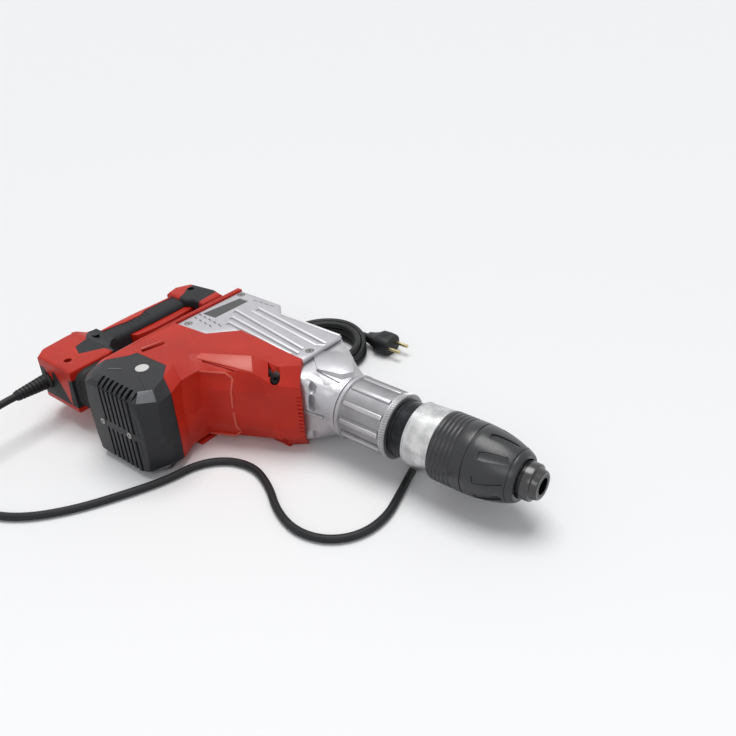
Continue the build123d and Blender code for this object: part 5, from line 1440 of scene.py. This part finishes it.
# %% Screws of the housing, the cap and the covers
cap_screw_x = (-452.6, -404.6)
screws("housing_front_screw", [(*screw_spot, 41)], black_oxide, 5.2, 5.0)
screws("housing_front_screw_left", [(*screw_spot, -33.8)], black_oxide, 3.9, 3.0, turn=180)
shanks = [bar("shank", (*spot, -30), (*spot, top), 2.4) for spot, _, top in bosses]
shanks += [bar("shank", (*spot, 38 * sign), (*spot, 51 * sign), 2.4)
           for spot in cover_screw_spots for sign in (1, -1)]
shanks += [bar("shank", (x, -184.6, 0), (x, -170, 0), 2.4) for x in cap_screw_x]
install(softened(gathered("screw_shanks", shanks)), "root", "dark_steel", zinc_plate, "casing_screws")
screws("cap_screws", [(x, -186.2, 0) for x in cap_screw_x], zinc_plate, 3.7, 2.0, turn=90)
screws("cover_screws_right", [(*spot, 51.9) for spot in cover_screw_spots], zinc_plate, 4.2, 1.6)
screws("cover_screws_left", [(*spot, -51.9) for spot in cover_screw_spots], zinc_plate, 4.2, 1.6, turn=180)

# %% [markdown]
# ## Plug, guard and the cord's declaration
# The cord ends in a moulded two-pin plug, and its first stretch is held by a ribbed guard that
# tapers, so that the cord bends gently where it leaves the handle. Both are stacks of rings along
# the cord: a box would be too hard-edged for rubber, and a plain cone would lose the ribs.

# %% Plug
plug_low, plug_high = limits("plug")
plug_y, plug_z = (plug_low[1] + plug_high[1]) / 2, (plug_low[2] + plug_high[2]) / 2
# Rings of the plug: x, half width and half height.
plug_sections = [(-369, 7.0, 6.6), (-362, 9.0, 7.6), (-354, 12.0, 10.0), (-349, 16.4, 12.8),
                 (-338, 16.8, 13.2), (-330, 16.2, 12.6), (-327, 15.0, 11.6)]
plug_body = stack("plug_body", [
    [(x, plug_y + a, plug_z + b) for a, b in soft_corners(half_y, half_z, 0.6, 32)]
    for x, half_y, half_z in plug_sections])
groove_z = plug_z + 13.6
grip_groove = strut("grip_groove", (-343, plug_y - 7, groove_z), (-343, plug_y + 7, groove_z), 1.6, 2.0)
plug_body = carve(plug_body, [repeated("grip_grooves", grip_groove, 4, shift=(3.4, 0, 0))])
install(softened(bevelled(plug_body, 0.6, 2, 40), 40), "handle", "black_rubber", jacket_rubber, "plug")

pin_pitch = 19
pin_radius = 2.4
pin_y = plug_y - pin_pitch / 2
pin = bar("pin", (-327.4, pin_y, plug_z), (-309.2, pin_y, plug_z), pin_radius, sides=24)
tip = bar("tip", (-309.2, pin_y, plug_z), (-308, pin_y, plug_z), pin_radius, pin_radius / 2, 24)
pins = repeated("plug_pin_pair", gathered("pin", [pin, tip]), 2, shift=(0, pin_pitch, 0),
                material=plated_brass)
install(softened(pins), "handle", "brass_pins", plated_brass, "plug_pins")

# %% Cord guard
guard_x = cord_points[0][0]
guard_rib_count, guard_rib_pitch = 8, 4.6
# The guard's profile: (y, radius), with ribs that get smaller towards the cord.
profile = [(-170.5, 10.4), (-174.0, 10.6), (-176.5, 9.2)]
for k in range(guard_rib_count):
    y = -179.0 - guard_rib_pitch * k
    radius = 9.3 - 0.36 * k
    profile += [(y, radius), (y - 2.6, radius - 0.1), (y - 3.0, radius - 1.5), (y - 4.2, radius - 1.6)]
profile += [(-215.5, 6.3), (-217, 5.6)]
cord_guard = stack("cord_guard_ribbed", [[(guard_x + a, y, b) for a, b in circle(radius, 40)]
                                         for y, radius in profile])
install(softened(cord_guard, 30), "handle", "black_rubber", jacket_rubber, "cord_guard")

# %% The cord takes its material and the handle's body
cord_data.materials.append(jacket_rubber)
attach(power_cord, "handle")
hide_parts("cord", "cord_coil")
print("cord declared,", cord_length, "m")

# %% [markdown]
# ## Sizes
# The visual model's box is printed beside the CAD model's: one box each, in metres. A visual
# model that had grown past its CAD would no longer fit its drawings, and two boxes show that at a glance.

# %% Print the boxes
def plain(value):
    """The same value as plain numbers and lists."""
    if isinstance(value, dict):
        return {str(key): plain(item) for key, item in value.items()}
    if isinstance(value, (int, float)):
        return float(value)
    return [plain(item) for item in value]


sizes = {"cad": plain(cad_box), "visual": plain(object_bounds())}
print(sizes)
